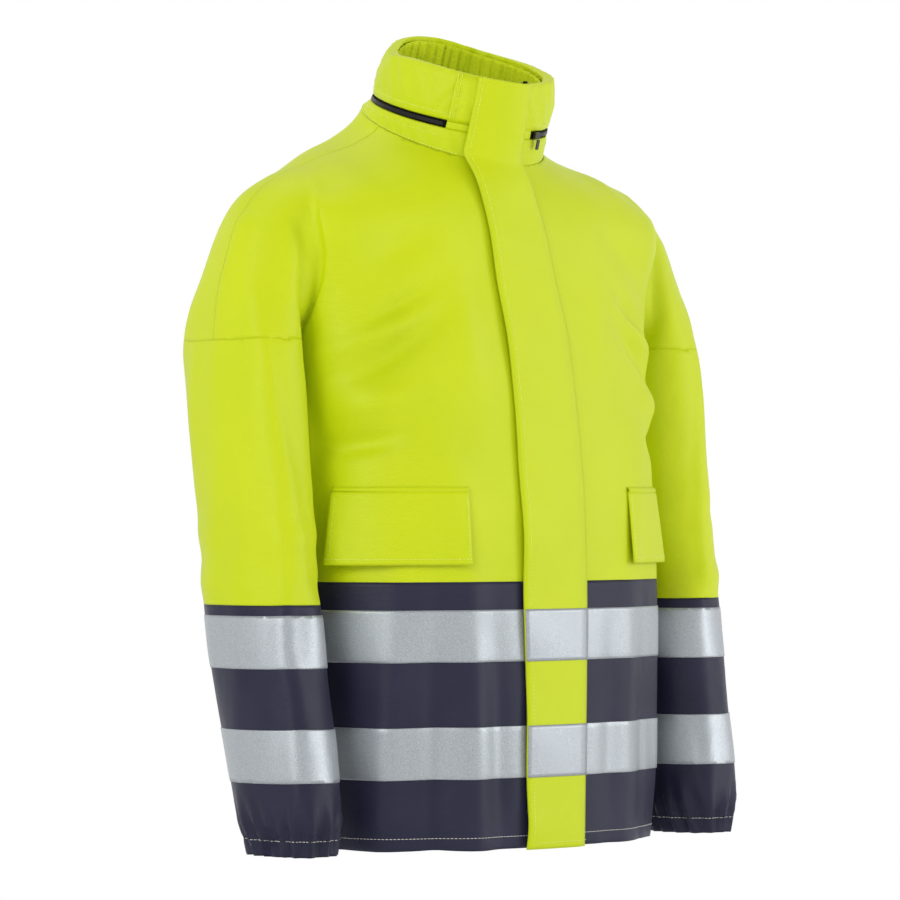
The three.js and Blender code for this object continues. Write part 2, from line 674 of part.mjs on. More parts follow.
// Where the trunk's front surface lies, at x and height z.
function trunkFront(x, z) {
  let low = 0;
  let high = trunkRings.length - 1;
  for (let turn = 0; turn < 30; turn += 1) {
    const middle = (low + high) / 2;
    if (ringAt(trunkRings, middle).z < z) {
      low = middle;
    } else {
      high = middle;
    }
  }
  const ring = ringAt(trunkRings, low);
  return ring.y - ring.d * (1 - Math.abs(x / ring.w) ** ring.n) ** (1 / ring.n);
}

const SNAP_THICK = 1.3;
function addSnap(name, z, out) {
  const step = 4;
  const slopeX = (trunkFront(SNAP_X + step, z) - trunkFront(SNAP_X - step, z)) / (2 * step);
  const slopeZ = (trunkFront(SNAP_X, z + step) - trunkFront(SNAP_X, z - step)) / (2 * step);
  const normal = new THREE.Vector3(slopeX, -1, slopeZ).normalize();
  const disc = new THREE.CylinderGeometry(SNAP_RADIUS, SNAP_RADIUS, SNAP_THICK, 10);
  const piece = new THREE.Mesh(disc, new THREE.MeshStandardMaterial(COLOURS.metal));
  piece.name = name;
  piece.quaternion.setFromUnitVectors(new THREE.Vector3(0, 1, 0), normal);
  piece.position.set(SNAP_X, trunkFront(SNAP_X, z), z).addScaledVector(normal, out + SNAP_THICK / 2);
  jacket.add(piece);
}

SNAP_HEIGHTS.forEach((z, index) => {
  const studOut = 0.5;
  addSnap(`snap_stud_${index + 1}`, z, studOut);
  addSnap(`snap_socket_${index + 1}`, z, studOut + SNAP_THICK + SEAM_GAP);
});

// ---------- pockets ----------

for (const [name, side] of Object.entries(SIDES)) {
  const block = (low, high, inset) => boxSolid(
    [Math.min(side * (POCKET_INNER_X + inset), side * FAR), -FAR, low],
    [Math.max(side * (POCKET_INNER_X + inset), side * FAR), POCKET_SIDE_Y - inset, high],
  );
  const flapFace = SKIN_GAP + 2;
  const flap = block(POCKET_TOP - POCKET_FLAP_DROP, POCKET_TOP, 0);
  addPiece(`${name}_pocket_flap`, "yellow", bodyLayer(flapFace, flapFace + POCKET_FLAP_THICK, flap));
  const welt = block(POCKET_TOP - POCKET_WELT, POCKET_TOP, 2);
  addPiece(`${name}_pocket_welt`, "yellow", bodyLayer(SKIN_GAP, flapFace - SEAM_GAP, welt));
  const bag = block(POCKET_TOP - POCKET_WELT - POCKET_BAG_DROP, POCKET_TOP - POCKET_WELT, 4);
  const bagFace = -WALL - SEAM_GAP;
  addPiece(`${name}_pocket_bag`, "lining", bodyLayer(bagFace - 2, bagFace, bag));
}

export default jacket;
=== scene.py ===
import math

import bmesh
import bpy
import numpy as np
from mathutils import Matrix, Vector, noise
from mathutils.bvhtree import BVHTree


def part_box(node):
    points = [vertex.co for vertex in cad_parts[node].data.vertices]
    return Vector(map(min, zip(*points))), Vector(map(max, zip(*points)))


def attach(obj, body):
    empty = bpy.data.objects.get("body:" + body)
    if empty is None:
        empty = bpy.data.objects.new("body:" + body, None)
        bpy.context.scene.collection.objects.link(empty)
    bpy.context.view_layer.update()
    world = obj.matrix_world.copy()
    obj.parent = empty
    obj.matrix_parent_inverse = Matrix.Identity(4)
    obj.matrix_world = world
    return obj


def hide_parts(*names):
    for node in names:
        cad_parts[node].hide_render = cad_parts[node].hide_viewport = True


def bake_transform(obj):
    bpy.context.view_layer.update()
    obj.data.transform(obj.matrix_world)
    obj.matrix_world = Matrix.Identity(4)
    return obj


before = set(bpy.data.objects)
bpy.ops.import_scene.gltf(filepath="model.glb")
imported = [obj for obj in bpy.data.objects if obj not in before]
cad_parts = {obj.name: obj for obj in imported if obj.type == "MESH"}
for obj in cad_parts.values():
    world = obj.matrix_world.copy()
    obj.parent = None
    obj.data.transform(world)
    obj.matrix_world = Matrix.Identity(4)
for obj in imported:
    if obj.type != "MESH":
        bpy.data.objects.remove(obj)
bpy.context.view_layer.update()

HEM_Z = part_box("back_lower")[0][2]
BODY_LENGTH = -HEM_Z * 1000


def node_span(node):
    """A node's lowest and highest z, in millimetres above the hem."""
    low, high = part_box(node)
    return (low[2] - HEM_Z) * 1000, (high[2] - HEM_Z) * 1000


TAPE_LOW = node_span("back_body_tape_lower")
TAPE_HIGH = node_span("back_body_tape_upper")
NAVY_TOP = node_span("back_lower")[1]
SLEEVE_TAPE_LOW = node_span("left_sleeve_tape_lower")
SLEEVE_TAPE_HIGH = node_span("left_sleeve_tape_upper")
SLEEVE_TOP = node_span("left_sleeve_upper")[1]
SLEEVE_NAVY_TOP = node_span("left_sleeve_lower")[1]
CUFF_Z = node_span("left_sleeve_lower")[0]
POCKET_LOW, POCKET_TOP = node_span("left_pocket_flap")
CHEST_HALF_WIDTH = (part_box("left_body_tape_upper")[1][0] + 0.001) * 1000
CHEST_HALF_DEPTH = 143.0
SHOULDER_HALF_WIDTH = 300.0
NECK_HALF_WIDTH = 90.0
NECK_HALF_DEPTH = 87.0
NECK_Y = 10.0
NECK_TILT = 0.42
CHEST_DRAW = 19.0
ARMHOLE_DEPTH = 198.0
UNDERARM = BODY_LENGTH - ARMHOLE_DEPTH
SLEEVE_LENGTH = SLEEVE_TOP - CUFF_Z
ARM_HALF_WIDTH = 46.0
ARM_HALF_DEPTH = 67.0
ARM_X = CHEST_HALF_WIDTH + 8 + ARM_HALF_WIDTH
ARM_SPLIT_X = CHEST_HALF_WIDTH + 4
SIDE_SEAM_Y = 15.0
EDGE_HALF_GAP = 4.0
CLOTH = 1.2
TAPE_THICK = 0.6
SEAM_DIP = 0.12
OVERRUN = 14.0


def metres(points):
    """Millimetres above the hem to the frame's metres."""
    moved = np.asarray(points, dtype=float) / 1000
    moved[..., 2] += HEM_Z
    return moved


# ---------- materials ----------

def shader_of(material):
    return material.node_tree.nodes["Principled BSDF"]


def new_material(name, slot_name, colour, rough, **values):
    """A material with a plain base; values name other inputs of its shader."""
    material = bpy.data.materials.new(name)
    material.use_nodes = True
    inputs = shader_of(material).inputs
    inputs["Base Color"].default_value = (*colour, 1)
    inputs["Roughness"].default_value = rough
    inputs["Sheen Roughness"].default_value = 0.4
    inputs["Coat Roughness"].default_value = 0.35
    for key, value in values.items():
        inputs[SHADER_INPUTS[key]].default_value = value
    material["slot"] = slot_name
    return material


SHADER_INPUTS = dict(
    sheen="Sheen Weight", metal="Metallic", coat="Coat Weight", shine="Specular IOR Level",
)


def add_node(tree, kind, **values):
    node = tree.nodes.new(kind)
    for key, value in values.items():
        if key in node.inputs:
            node.inputs[key].default_value = value
        else:
            setattr(node, key, value)
    return node


def wire(tree, source, output, target, socket):
    tree.links.new(source.outputs[output], target.inputs[socket])


def add_texture(tree, kind, **values):
    """A texture node that follows the piece's own coordinates."""
    texture = add_node(tree, kind, **values)
    wire(tree, add_node(tree, "ShaderNodeTexCoord"), "Object", texture, "Vector")
    return texture


def mottle(material, light, dark, scale, detail=4.0, low=0.3, high=0.7):
    """Base colour that drifts between two near shades."""
    tree = material.node_tree
    drift = add_texture(tree, "ShaderNodeTexNoise", Scale=scale, Detail=detail)
    shades = add_node(tree, "ShaderNodeValToRGB")
    for stop, position, colour in zip(shades.color_ramp.elements, (low, high), (dark, light)):
        stop.position = position
        stop.color = (*colour, 1)
    wire(tree, drift, "Fac", shades, "Fac")
    wire(tree, shades, "Color", shader_of(material), "Base Color")


def weave_bump(material, pitch, strength, crinkle=0.0):
    """Fine crossed threads, with an optional soft crinkle of the coated cloth."""
    tree = material.node_tree
    scale = 2 * math.pi / (pitch * 0.001) / 20
    both = add_node(tree, "ShaderNodeMath", operation="ADD")
    for index, direction in enumerate(("Z", "DIAGONAL")):
        threads = add_texture(tree, "ShaderNodeTexWave", Scale=scale, bands_direction=direction)
        wire(tree, threads, "Fac", both, index)
    bump = add_node(tree, "ShaderNodeBump", Strength=strength, Distance=0.0003)
    wire(tree, both, 0, bump, "Height")
    if crinkle:
        creased = add_texture(tree, "ShaderNodeTexNoise", Scale=55.0, Detail=5.0)
        soft = add_node(tree, "ShaderNodeBump", Strength=crinkle, Distance=0.0015)
        wire(tree, creased, "Fac", soft, "Height")
        wire(tree, bump, "Normal", soft, "Normal")
        bump = soft
    wire(tree, bump, "Normal", shader_of(material), "Normal")


def grain(material, scale, strength):
    """Tiny beads, as on glass-bead tape or fine enamel."""
    tree = material.node_tree
    beads = add_texture(tree, "ShaderNodeTexVoronoi", Scale=scale)
    bump = add_node(tree, "ShaderNodeBump", Strength=strength, Distance=0.0003)
    wire(tree, beads, "Distance", bump, "Height")
    wire(tree, bump, "Normal", shader_of(material), "Normal")


def yellow_cloth():
    material = new_material(
        "yellow_coated_cloth", "yellow_cloth", (0.55, 0.655, 0.0), 0.5, sheen=0.05, shine=0.3,
    )
    mottle(material, (0.58, 0.68, 0.0), (0.54, 0.645, 0.0), 9.0)
    weave_bump(material, 1.1, 0.25, 0.16)
    return material


def navy_cloth():
    material = new_material(
        "navy_coated_cloth", "navy_cloth", (0.02, 0.02, 0.044), 0.42, sheen=0.04, shine=0.2,
    )
    mottle(material, (0.024, 0.024, 0.052), (0.016, 0.017, 0.038), 12.0)
    weave_bump(material, 1.1, 0.25, 0.2)
    return material


def silver_tape():
    material = new_material(
        "silver_tape", "reflective_tape", (0.4, 0.43, 0.45), 0.4, metal=0.5, shine=0.4,
    )
    mottle(material, (0.52, 0.56, 0.59), (0.27, 0.29, 0.31), 1500.0, 1.0, 0.25, 0.75)
    grain(material, 1300.0, 0.35)
    return material


def collar_knit():
    material = new_material(
        "collar_lining_knit", "lining", (0.58, 0.69, 0.01), 0.8, sheen=0.1, shine=0.2,
    )
    mottle(material, (0.62, 0.73, 0.012), (0.52, 0.63, 0.006), 30.0)
    weave_bump(material, 1.6, 0.5)
    return material


def black_tape():
    material = new_material("black_zip_tape", "black_tape", (0.005, 0.005, 0.003), 0.7, shine=0.12)
    mottle(material, (0.007, 0.007, 0.005), (0.003, 0.003, 0.002), 60.0)
    weave_bump(material, 0.9, 0.6)
    return material


def black_enamel():
    material = new_material(
        "black_enamel", "zip_metal", (0.012, 0.012, 0.012), 0.3, metal=0.6, coat=0.4,
    )
    mottle(material, (0.02, 0.02, 0.02), (0.008, 0.008, 0.008), 80.0)
    grain(material, 400.0, 0.05)
    return material


def thread(name, slot_name, colour, rough, light, dark):
    material = new_material(name, slot_name, colour, rough, sheen=0.2)
    mottle(material, light, dark, 300.0)
    return material


MATERIALS = dict(
    yellow=yellow_cloth(),
    navy=navy_cloth(),
    tape=silver_tape(),
    lining=collar_knit(),
    black=black_tape(),
    metal=black_enamel(),
    white=thread(
        "pale_thread", "lining", (0.62, 0.6, 0.55), 0.7, (0.7, 0.68, 0.62), (0.5, 0.48, 0.44),
    ),
    lime=thread(
        "lime_thread", "yellow_cloth", (0.75, 0.85, 0.12), 0.6, (0.8, 0.88, 0.16), (0.62, 0.74, 0.05),
    ),
)

# ---------- mesh helpers ----------

def new_piece(name, points, faces, material, body, smooth=True):
    """A mesh piece in the frame that rides on a body and takes its material's slot."""
    mesh = bpy.data.meshes.new(name)
    mesh.from_pydata(metres(points).tolist(), [], [tuple(face) for face in faces])
    mesh.validate()
    mesh.shade_smooth() if smooth else mesh.shade_flat()
    mesh.materials.append(MATERIALS[material])
    piece = bpy.data.objects.new(name, mesh)
    bpy.context.scene.collection.objects.link(piece)
    if body:
        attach(piece, body)
    return piece


def open_edges(faces):
    """The directed edges that only one face uses."""
    seen = {}
    for face in faces:
        for first, second in zip(face, tuple(face[1:]) + (face[0],)):
            key = (min(first, second), max(first, second))
            seen[key] = None if key in seen else (first, second)
    return [edge for edge in seen.values() if edge]


def cloth_piece(
    name, points, normals, faces, material, body, outer, inner, rim=0.0, nodes=(), blend=None,
):
    """A surface closed to cloth between two offsets, with its open edges drawn in by the rim.

    blend is (body, where the bending starts, where it ends); only whether it is given is used, and then
    the piece's transform is baked.
    """
    count = len(points)
    edges = open_edges(faces)
    drawn_in = np.zeros(count)
    drawn_in[[corner for edge in edges for corner in edge]] = rim
    top = points + normals * (outer - drawn_in)[:, None]
    bottom = points + normals * (inner - drawn_in)[:, None]
    solid = list(faces)
    solid += [tuple(count + corner for corner in reversed(face)) for face in faces]
    solid += [(second, first, count + first, count + second) for first, second in edges]
    piece = new_piece(name, np.vstack([top, bottom]), solid, material, body)
    if blend:
        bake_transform(piece)
    if nodes:
        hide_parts(*nodes)
    return piece


def grid_faces(rows, columns, wrap=False):
    faces = []
    last = columns if wrap else columns - 1
    for row in range(rows - 1):
        for column in range(last):
            right = (column + 1) % columns
            a = row * columns + column
            b = row * columns + right
            faces.append((a, b, b + columns, a + columns))
    return faces


def grid_normals(points, wrap=False):
    """Normals of a rows x columns x 3 grid, pointing along columns x rows."""
    if wrap:
        across = np.roll(points, -1, 1) - np.roll(points, 1, 1)
    else:
        across = np.gradient(points, axis=1)
    along = np.gradient(points, axis=0)
    normals = np.cross(across, along)
    return normals / np.maximum(np.linalg.norm(normals, axis=2, keepdims=True), 1e-9)


def front_facing(grid, column):
    """A grid's normals turned to the front at its middle row, and whether they had to turn."""
    normals = grid_normals(grid)
    turned = normals[len(grid) // 2, column, 1] > 0
    return (-normals if turned else normals), turned


def grid_piece(
    name, grid, normals, material, body, inner, outer=0.0, wrap=False, turned=False, **rest
):
    """Cloth on a grid of points; turned reverses its faces, rest is as for cloth_piece."""
    faces = grid_faces(*grid.shape[:2], wrap)
    if turned:
        faces = [tuple(reversed(face)) for face in faces]
    return cloth_piece(
        name, grid.reshape(-1, 3), normals.reshape(-1, 3), faces, material, body, outer, inner, **rest
    )


def capped_faces(rows, sides):
    """Faces of a closed ring grid with a fan at each end, round two further points."""
    faces = grid_faces(rows, sides, wrap=True)
    foot = rows * sides
    last = foot - sides
    for side in range(sides):
        right = (side + 1) % sides
        faces.append((right, side, foot))
        faces.append((last + side, last + right, foot + 1))
    return faces


def ring_at(rings, level):
    """The ring at a fractional level of a list, on a smooth curve through them all."""
    last = len(rings) - 1
    index = min(max(int(math.floor(level)), 0), last - 1)
    t = level - index
    p0 = rings[max(index - 1, 0)]
    p1 = rings[index]
    p2 = rings[index + 1]
    p3 = rings[min(index + 2, last)]
    slope_in = (p2 - p0) / 2
    slope_out = (p3 - p1) / 2
    return (
        (2 * t**3 - 3 * t**2 + 1) * p1 + (t**3 - 2 * t**2 + t) * slope_in
        + (3 * t**2 - 2 * t**3) * p2 + (t**3 - t**2) * slope_out
    )


def ring_points(ring, angles, offset=0.0):
    """Points of a ring (z, x, y, half-width, half-depth, squareness, tilt) at angles."""
    z, x, y, w, d, n, k = ring
    power = 2 / n
    across = np.sign(np.cos(angles)) * np.abs(np.cos(angles)) ** power * (w + offset)
    along = np.sign(np.sin(angles)) * np.abs(np.sin(angles)) ** power * (d + offset)
    return np.stack([x + across, y + along, z + k * along], axis=-1)


def mix(first, second, share):
    return first + (second - first) * share


NECK_RING = np.array([
    BODY_LENGTH + NECK_TILT * NECK_Y, 0, NECK_Y, NECK_HALF_WIDTH, NECK_HALF_DEPTH, 2, NECK_TILT,
])
CHEST_TOP_DEPTH = CHEST_HALF_DEPTH - CHEST_DRAW


def trunk_rings():
    """Rings from below the hem to above the neck seam, as the frame's panels have them."""
    rings = [
        [-OVERRUN, 0, 1, CHEST_HALF_WIDTH - 9.5, CHEST_HALF_DEPTH - 2, 2.6, 0],
        [NAVY_TOP, 0, 3, CHEST_HALF_WIDTH, CHEST_HALF_DEPTH, 2.8, 0],
        [POCKET_TOP + 30, 0, 5, CHEST_HALF_WIDTH, CHEST_HALF_DEPTH - 5, 2.8, 0],
    ]
    shoulder = [
        (0, 0.44, 0, 2.7), (0.32, 0.4, 0.33, 2.5), (0.57, 0.38, 0.5, 2.35),
        (0.77, 0.57, 0.7, 2.15), (0.92, 0.84, 0.87, 2),
    ]
    for height, inward, shallow, squareness in shoulder:
        rings.append([
            UNDERARM + ARMHOLE_DEPTH * height,
            0,
            NECK_Y,
            mix(SHOULDER_HALF_WIDTH, NECK_HALF_WIDTH, inward) if height else CHEST_HALF_WIDTH - 2,
            mix(CHEST_TOP_DEPTH, NECK_HALF_DEPTH, shallow),
            squareness,
            NECK_TILT * shallow**2,
        ])
    rings.append(list(NECK_RING))
    above = NECK_RING.copy()
    above[0] += OVERRUN
    rings.append(list(above))
    return [np.array(ring, dtype=float) for ring in rings]


def arm_rings(side):
    table = [
        (1.34, -120, 16, 0.5, 0.4), (1.26, -55, 18, 0.9, 0.62), (1.13, -21, 20, 1.02, 0.92),
        (1, 0, 20, 1, 1.04), (0.88, 0, 12, 1, 1.03), (0.41, 3, -19, 0.98, 0.97),
        (0.094, -1, -50, 0.93, 0.88), (0.029, -2, -55, 0.76, 0.72), (-0.028, -2, -57, 0.79, 0.74),
    ]
    return [
        np.array([
            CUFF_Z + SLEEVE_LENGTH * height, side * (ARM_X + outward), forward,
            ARM_HALF_WIDTH * width, ARM_HALF_DEPTH * depth, 2.2, 0,
        ])
        for height, outward, forward, width, depth in table
    ]


def lofted(rings, rows, sides):
    """A closed loft through rings, with a fan at each end."""
    angles = np.linspace(0, 2 * math.pi, sides, endpoint=False)
    last = len(rings) - 1
    loops = [ring_points(ring_at(rings, last * row / rows), angles) for row in range(rows + 1)]
    points = np.vstack(loops + [loops[0].mean(0, keepdims=True), loops[-1].mean(0, keepdims=True)])
    return points, capped_faces(rows + 1, sides)


# ---------- the garment's base surface ----------

VOXEL = 5.0
SMOOTHING_ROUNDS = 14


def fused_surface():
    """Trunk and both arms as one skin: overlapping lofts, fused and smoothed."""
    points = []
    faces = []
    for solid_points, solid_faces in (
        lofted(trunk_rings(), 60, 96),
        lofted(arm_rings(-1)[::-1], 60, 44),
        lofted(arm_rings(1)[::-1], 60, 44),
    ):
        start = sum(len(part) for part in points)
        points.append(solid_points)
        faces += [tuple(start + corner for corner in face) for face in solid_faces]
    mesh = bpy.data.meshes.new("base")
    mesh.from_pydata(np.vstack(points).tolist(), [], faces)
    scratch = bpy.data.objects.new("base", mesh)
    bpy.context.scene.collection.objects.link(scratch)
    remesh = scratch.modifiers.new("fuse", "REMESH")
    remesh.mode = "VOXEL"
    remesh.voxel_size = VOXEL
    depsgraph = bpy.context.evaluated_depsgraph_get()
    fused = bpy.data.meshes.new_from_object(scratch.evaluated_get(depsgraph))
    bpy.data.objects.remove(scratch)
    return fused


def smooth_positions(positions, edges, rounds):
    """Laplacian smoothing of vertex positions along edges."""
    counts = np.zeros(len(positions))
    np.add.at(counts, edges[:, 0], 1)
    np.add.at(counts, edges[:, 1], 1)
    for _ in range(rounds):
        sums = np.zeros_like(positions)
        np.add.at(sums, edges[:, 0], positions[edges[:, 1]])
        np.add.at(sums, edges[:, 1], positions[edges[:, 0]])
        positions = positions + 0.5 * (sums / np.maximum(counts, 1)[:, None] - positions)
    return positions


def cut_base():
    """The base skin as a bmesh with straight edges wherever panels and tapes meet."""
    fused = fused_surface()
    count = len(fused.vertices)
    positions = np.empty(count * 3)
    fused.vertices.foreach_get("co", positions)
    edges = np.empty(len(fused.edges) * 2, dtype=int)
    fused.edges.foreach_get("vertices", edges)
    smoothed = smooth_positions(positions.reshape(-1, 3), edges.reshape(-1, 2), SMOOTHING_ROUNDS)
    fused.vertices.foreach_set("co", smoothed.ravel())
    base = bmesh.new()
    base.from_mesh(fused)
    levels = [*TAPE_LOW, *TAPE_HIGH, NAVY_TOP]
    levels += [*SLEEVE_TAPE_LOW, *SLEEVE_TAPE_HIGH, SLEEVE_NAVY_TOP, SLEEVE_TOP]
    neck_normal = Vector((0, -NECK_TILT, 1)).normalized()
    neck_point = Vector((0, NECK_Y, NECK_RING[0]))
    cuts = [(Vector((0, 0, level)), Vector((0, 0, 1)), False, False) for level in levels]
    cuts += [
        (Vector((0, 0, 0)), Vector((0, 0, 1)), False, True),
        (neck_point, neck_normal, True, False),
        (Vector((0, SIDE_SEAM_Y, 0)), Vector((0, 1, 0)), False, False),
        (Vector((-EDGE_HALF_GAP, 0, 0)), Vector((1, 0, 0)), False, False),
        (Vector((EDGE_HALF_GAP, 0, 0)), Vector((1, 0, 0)), False, False),
    ]
    for place, normal, above, below in cuts:
        bmesh.ops.bisect_plane(
            base, geom=base.verts[:] + base.edges[:] + base.faces[:], dist=0.05,
            plane_co=place, plane_no=normal, clear_outer=above, clear_inner=below,
        )
    base.verts.ensure_lookup_table()
    return base


def hump(value, middle, reach):
    """1 at the middle, fading to nothing over about twice the reach."""
    return np.exp(-(((value - middle) / reach) ** 2))


def bump_line(x, z, start, end, width, height):
    """A soft ridge along a line on the front or back, highest at its middle."""
    start = np.array(start, dtype=float)
    run = np.array(end, dtype=float) - start
    length = np.linalg.norm(run)
    run /= length
    along = (x - start[0]) * run[0] + (z - start[1]) * run[1]
    away = -(x - start[0]) * run[1] + (z - start[1]) * run[0]
    share = np.clip(along / length, -0.3, 1.3)
    return height * hump(share, 0.45, 0.42) * hump(away, 0, width)


# Folds on the wearer's right front, from (x, z) to (x, z), with half-width and height.
CHEST_FOLDS = [
    ((-178, 503), (-122, 540), 9, -8.5),
    ((-200, 446), (-112, 514), 10, -10.0),
    ((-200, 476), (-130, 526), 9, 6.5),
    ((-212, 382), (-158, 398), 10, -10.0),
    ((-208, 412), (-145, 446), 13, 8.0),
    ((-174, 566), (-104, 600), 16, -6.5),
    ((-150, 420), (-100, 300), 24, 4.0),
    ((-92, 560), (-80, 420), 18, 4.0),
]
SKIRT_FOLDS = [
    ((-172, 260), (-176, -60), 12, 6.0),
    ((-138, 240), (-132, -90), 13, -6.0),
    ((-104, 255), (-96, -80), 15, 6.5),
    ((-74, 210), (-66, -70), 12, -4.0),
]


# Creases as (path of (|x|, z) points, reach towards the body, reach towards the arm, height).
CREASES = [
    ([(209, 612), (207, 596), (205, 575), (204, 545), (204, 504), (203, 465), (205, 425)], 24, 7, 10.0),
    ([(232, 596), (232, 560), (232, 520), (222, 484)], 9, 10, -7.0),
    ([(262, 600), (285, 545), (292, 500), (284, 420), (276, 363), (270, 308), (267, 244)], 9, 30, 5.0),
]
SHOULDER_FULLNESS = 14.0
SEAM_TUCK = 8.0


def crease_height(across, z, path, inner, outer, height):
    """A one-sided crease along a path: steep towards one side and gentle towards the other."""
    best = np.full(len(z), 1e9)
    signed = np.zeros(len(z))
    for (x0, z0), (x1, z1) in zip(path, path[1:]):
        run = np.array([x1 - x0, z1 - z0])
        length = np.hypot(*run)
        share = np.clip(((across - x0) * run[0] + (z - z0) * run[1]) / length**2, 0, 1)
        dx = across - x0 - share * run[0]
        dz = z - z0 - share * run[1]
        gap = np.hypot(dx, dz)
        closer = gap < best
        best = np.where(closer, gap, best)
        turn = (dz * run[0] - dx * run[1]) / length
        signed = np.where(closer, np.sign(turn), signed)
    ends = hump(z, np.clip(z, path[-1][1] + 20, path[0][1] - 12), 20)
    return height * ends * hump(best, 0, np.where(signed > 0, outer, inner))


def smooth_step(value, low, high):
    share = np.clip((value - low) / (high - low), 0, 1)
    return share * share * (3 - 2 * share)


def cloud(points, scale, seed):
    """Smooth noise at each point; scale holds one wavelength per axis."""
    stretch = np.asarray(scale, dtype=float)
    shift = Vector((seed * 13.7, seed * 7.1, seed * 3.3))
    return np.array([noise.noise(Vector(point) + shift) for point in (points / stretch)])


def fold_heights(points, on_arm):
    """How far each point of the base skin moves out along its normal."""
    x, y, z = points.T
    heights = 2.2 * cloud(points, (95, 95, 160), 1) + 0.9 * cloud(points, (34, 34, 60), 2)
    front = y < SIDE_SEAM_Y
    skirt = smooth_step(-z, -330, -60)
    vertical = cloud(points, (52, 52, 520), 3)
    heights += np.where(on_arm, 0, 6.0 * vertical * skirt)
    for mirror, gain in ((1, 1.0), (-1, 0.8)):
        for start, end, width, height in CHEST_FOLDS + SKIRT_FOLDS:
            ridge = bump_line(mirror * x, z, start, end, width, gain * height)
            heights += np.where(front & ~on_arm, ridge, 0)
            behind = bump_line(mirror * x * 0.96, z, start, end, width * 1.5, -0.55 * gain * height)
            heights += np.where(~front & ~on_arm, behind, 0)
    calm = 1 - np.exp(-((x / 62) ** 4))
    heights = np.where(front & ~on_arm, heights * calm, heights)
    heights += np.where(on_arm, arm_folds(points), 0)
    across = np.abs(x)
    fore = smooth_step(-y, -40, -5)
    for path, inner, outer, height in CREASES:
        heights += fore * crease_height(across, z, path, inner, outer, height)
    full = smooth_step(z, 530, 625) * hump(across, 212, 78)
    tuck = hump(z, 490, 42) * smooth_step(across, 280, 305)
    heights += SHOULDER_FULLNESS * full - SEAM_TUCK * tuck
    seam = BODY_LENGTH + NECK_TILT * y
    return heights * smooth_step(seam - z, 0, 45)


def arm_folds(points):
    """Gathers at the cuff, long creases down the sleeve and small ones at the elbow."""
    x, y, z = points.T
    share = np.clip((SLEEVE_TOP - z) / SLEEVE_LENGTH, 0, 1)
    centre_y = 18 - 78 * share
    around = np.arctan2(y - centre_y, (np.abs(x) - ARM_X) * np.sign(x))
    wobble = 1.3 * cloud(points, (60, 60, 90), 4)
    gathers = hump(z, CUFF_Z + 14, 26) * np.cos(17 * around + 4 * wobble)
    creases = 3.2 * cloud(points, (30, 30, 260), 5) * smooth_step(-z, -520, -380)
    bend = 4.0 * hump(z, CUFF_Z + 285, 55) * cloud(points, (80, 80, 26), 6)
    crease = 4.5 * hump(around + 0.15 * wobble, -2.0, 0.22) * smooth_step(-z, -470, -250)
    return 3.8 * gathers + creases + bend + np.where(x < 0, crease, 0)


def base_skin():
    """Shaped points, their normals, faces, and face centres before the folds."""
    base = cut_base()
    rest = np.array([vertex.co[:] for vertex in base.verts])
    base.normal_update()
    normals = np.array([vertex.normal[:] for vertex in base.verts])
    on_arm = np.abs(rest[:, 0]) > ARM_SPLIT_X - 20 * smooth_step(rest[:, 2], UNDERARM, UNDERARM + 80)
    low_arm = on_arm & (rest[:, 2] < UNDERARM + 60)
    shaped = rest + normals * fold_heights(rest, low_arm)[:, None]
    for vertex, place in zip(base.verts, shaped):
        vertex.co = place
    base.normal_update()
    shaped_normals = np.array([vertex.normal[:] for vertex in base.verts])
    base.faces.ensure_lookup_table()
    faces = [tuple(vertex.index for vertex in face.verts) for face in base.faces]
    centres = np.array([rest[list(face)].mean(0) for face in faces])
    base.free()
    return shaped, shaped_normals, faces, centres


SHAPED, NORMALS, FACES, CENTRES = base_skin()


def select(mask):
    return [FACES[index] for index in np.nonzero(mask)[0]]


def skin_piece(
    name, mask, material, body, outer=0.0, thick=CLOTH, rim=SEAM_DIP, nodes=(), blend=None,
):
    """A panel or tape cut from the base skin, closed to its cloth's thickness."""
    chosen = select(mask)
    used = sorted({corner for face in chosen for corner in face})
    index = {old: new for new, old in enumerate(used)}
    faces = [tuple(index[corner] for corner in face) for face in chosen]
    return cloth_piece(
        name, SHAPED[used], NORMALS[used], faces, material, body, outer, outer - thick, rim, nodes, blend,
    )


def between(span):
    return (CENTRES[:, 2] > span[0]) & (CENTRES[:, 2] < span[1])


IS_ARM = (np.abs(CENTRES[:, 0]) > ARM_SPLIT_X) & (CENTRES[:, 2] < SLEEVE_TOP)
IS_FRONT = CENTRES[:, 1] < SIDE_SEAM_Y
IS_EDGE = IS_FRONT & (np.abs(CENTRES[:, 0]) < EDGE_HALF_GAP) & ~IS_ARM
SIDES = {"right": -1, "left": 1}


def side_of(side):
    return CENTRES[:, 0] * side > 0


def skin_tree(mask):
    """A search tree of part of the shaped skin."""
    return BVHTree.FromPolygons([tuple(point) for point in SHAPED], select(mask))


TRUNK_TREE = skin_tree(~IS_ARM)


def front_hit(tree, x, z):
    place, normal, _, _ = tree.ray_cast(Vector((x, -500, z)), Vector((0, 1, 0)))
    return place, normal


# ---------- panels and tapes ----------

TAPE_LIFT = 0.9  # a tape's outer face above the cloth's
TAPE_DIP = 0.25  # how far a tape's edge is pressed in
SLEEVE_BLEND = 0.13  # metres below the sleeve's top where its blend ends
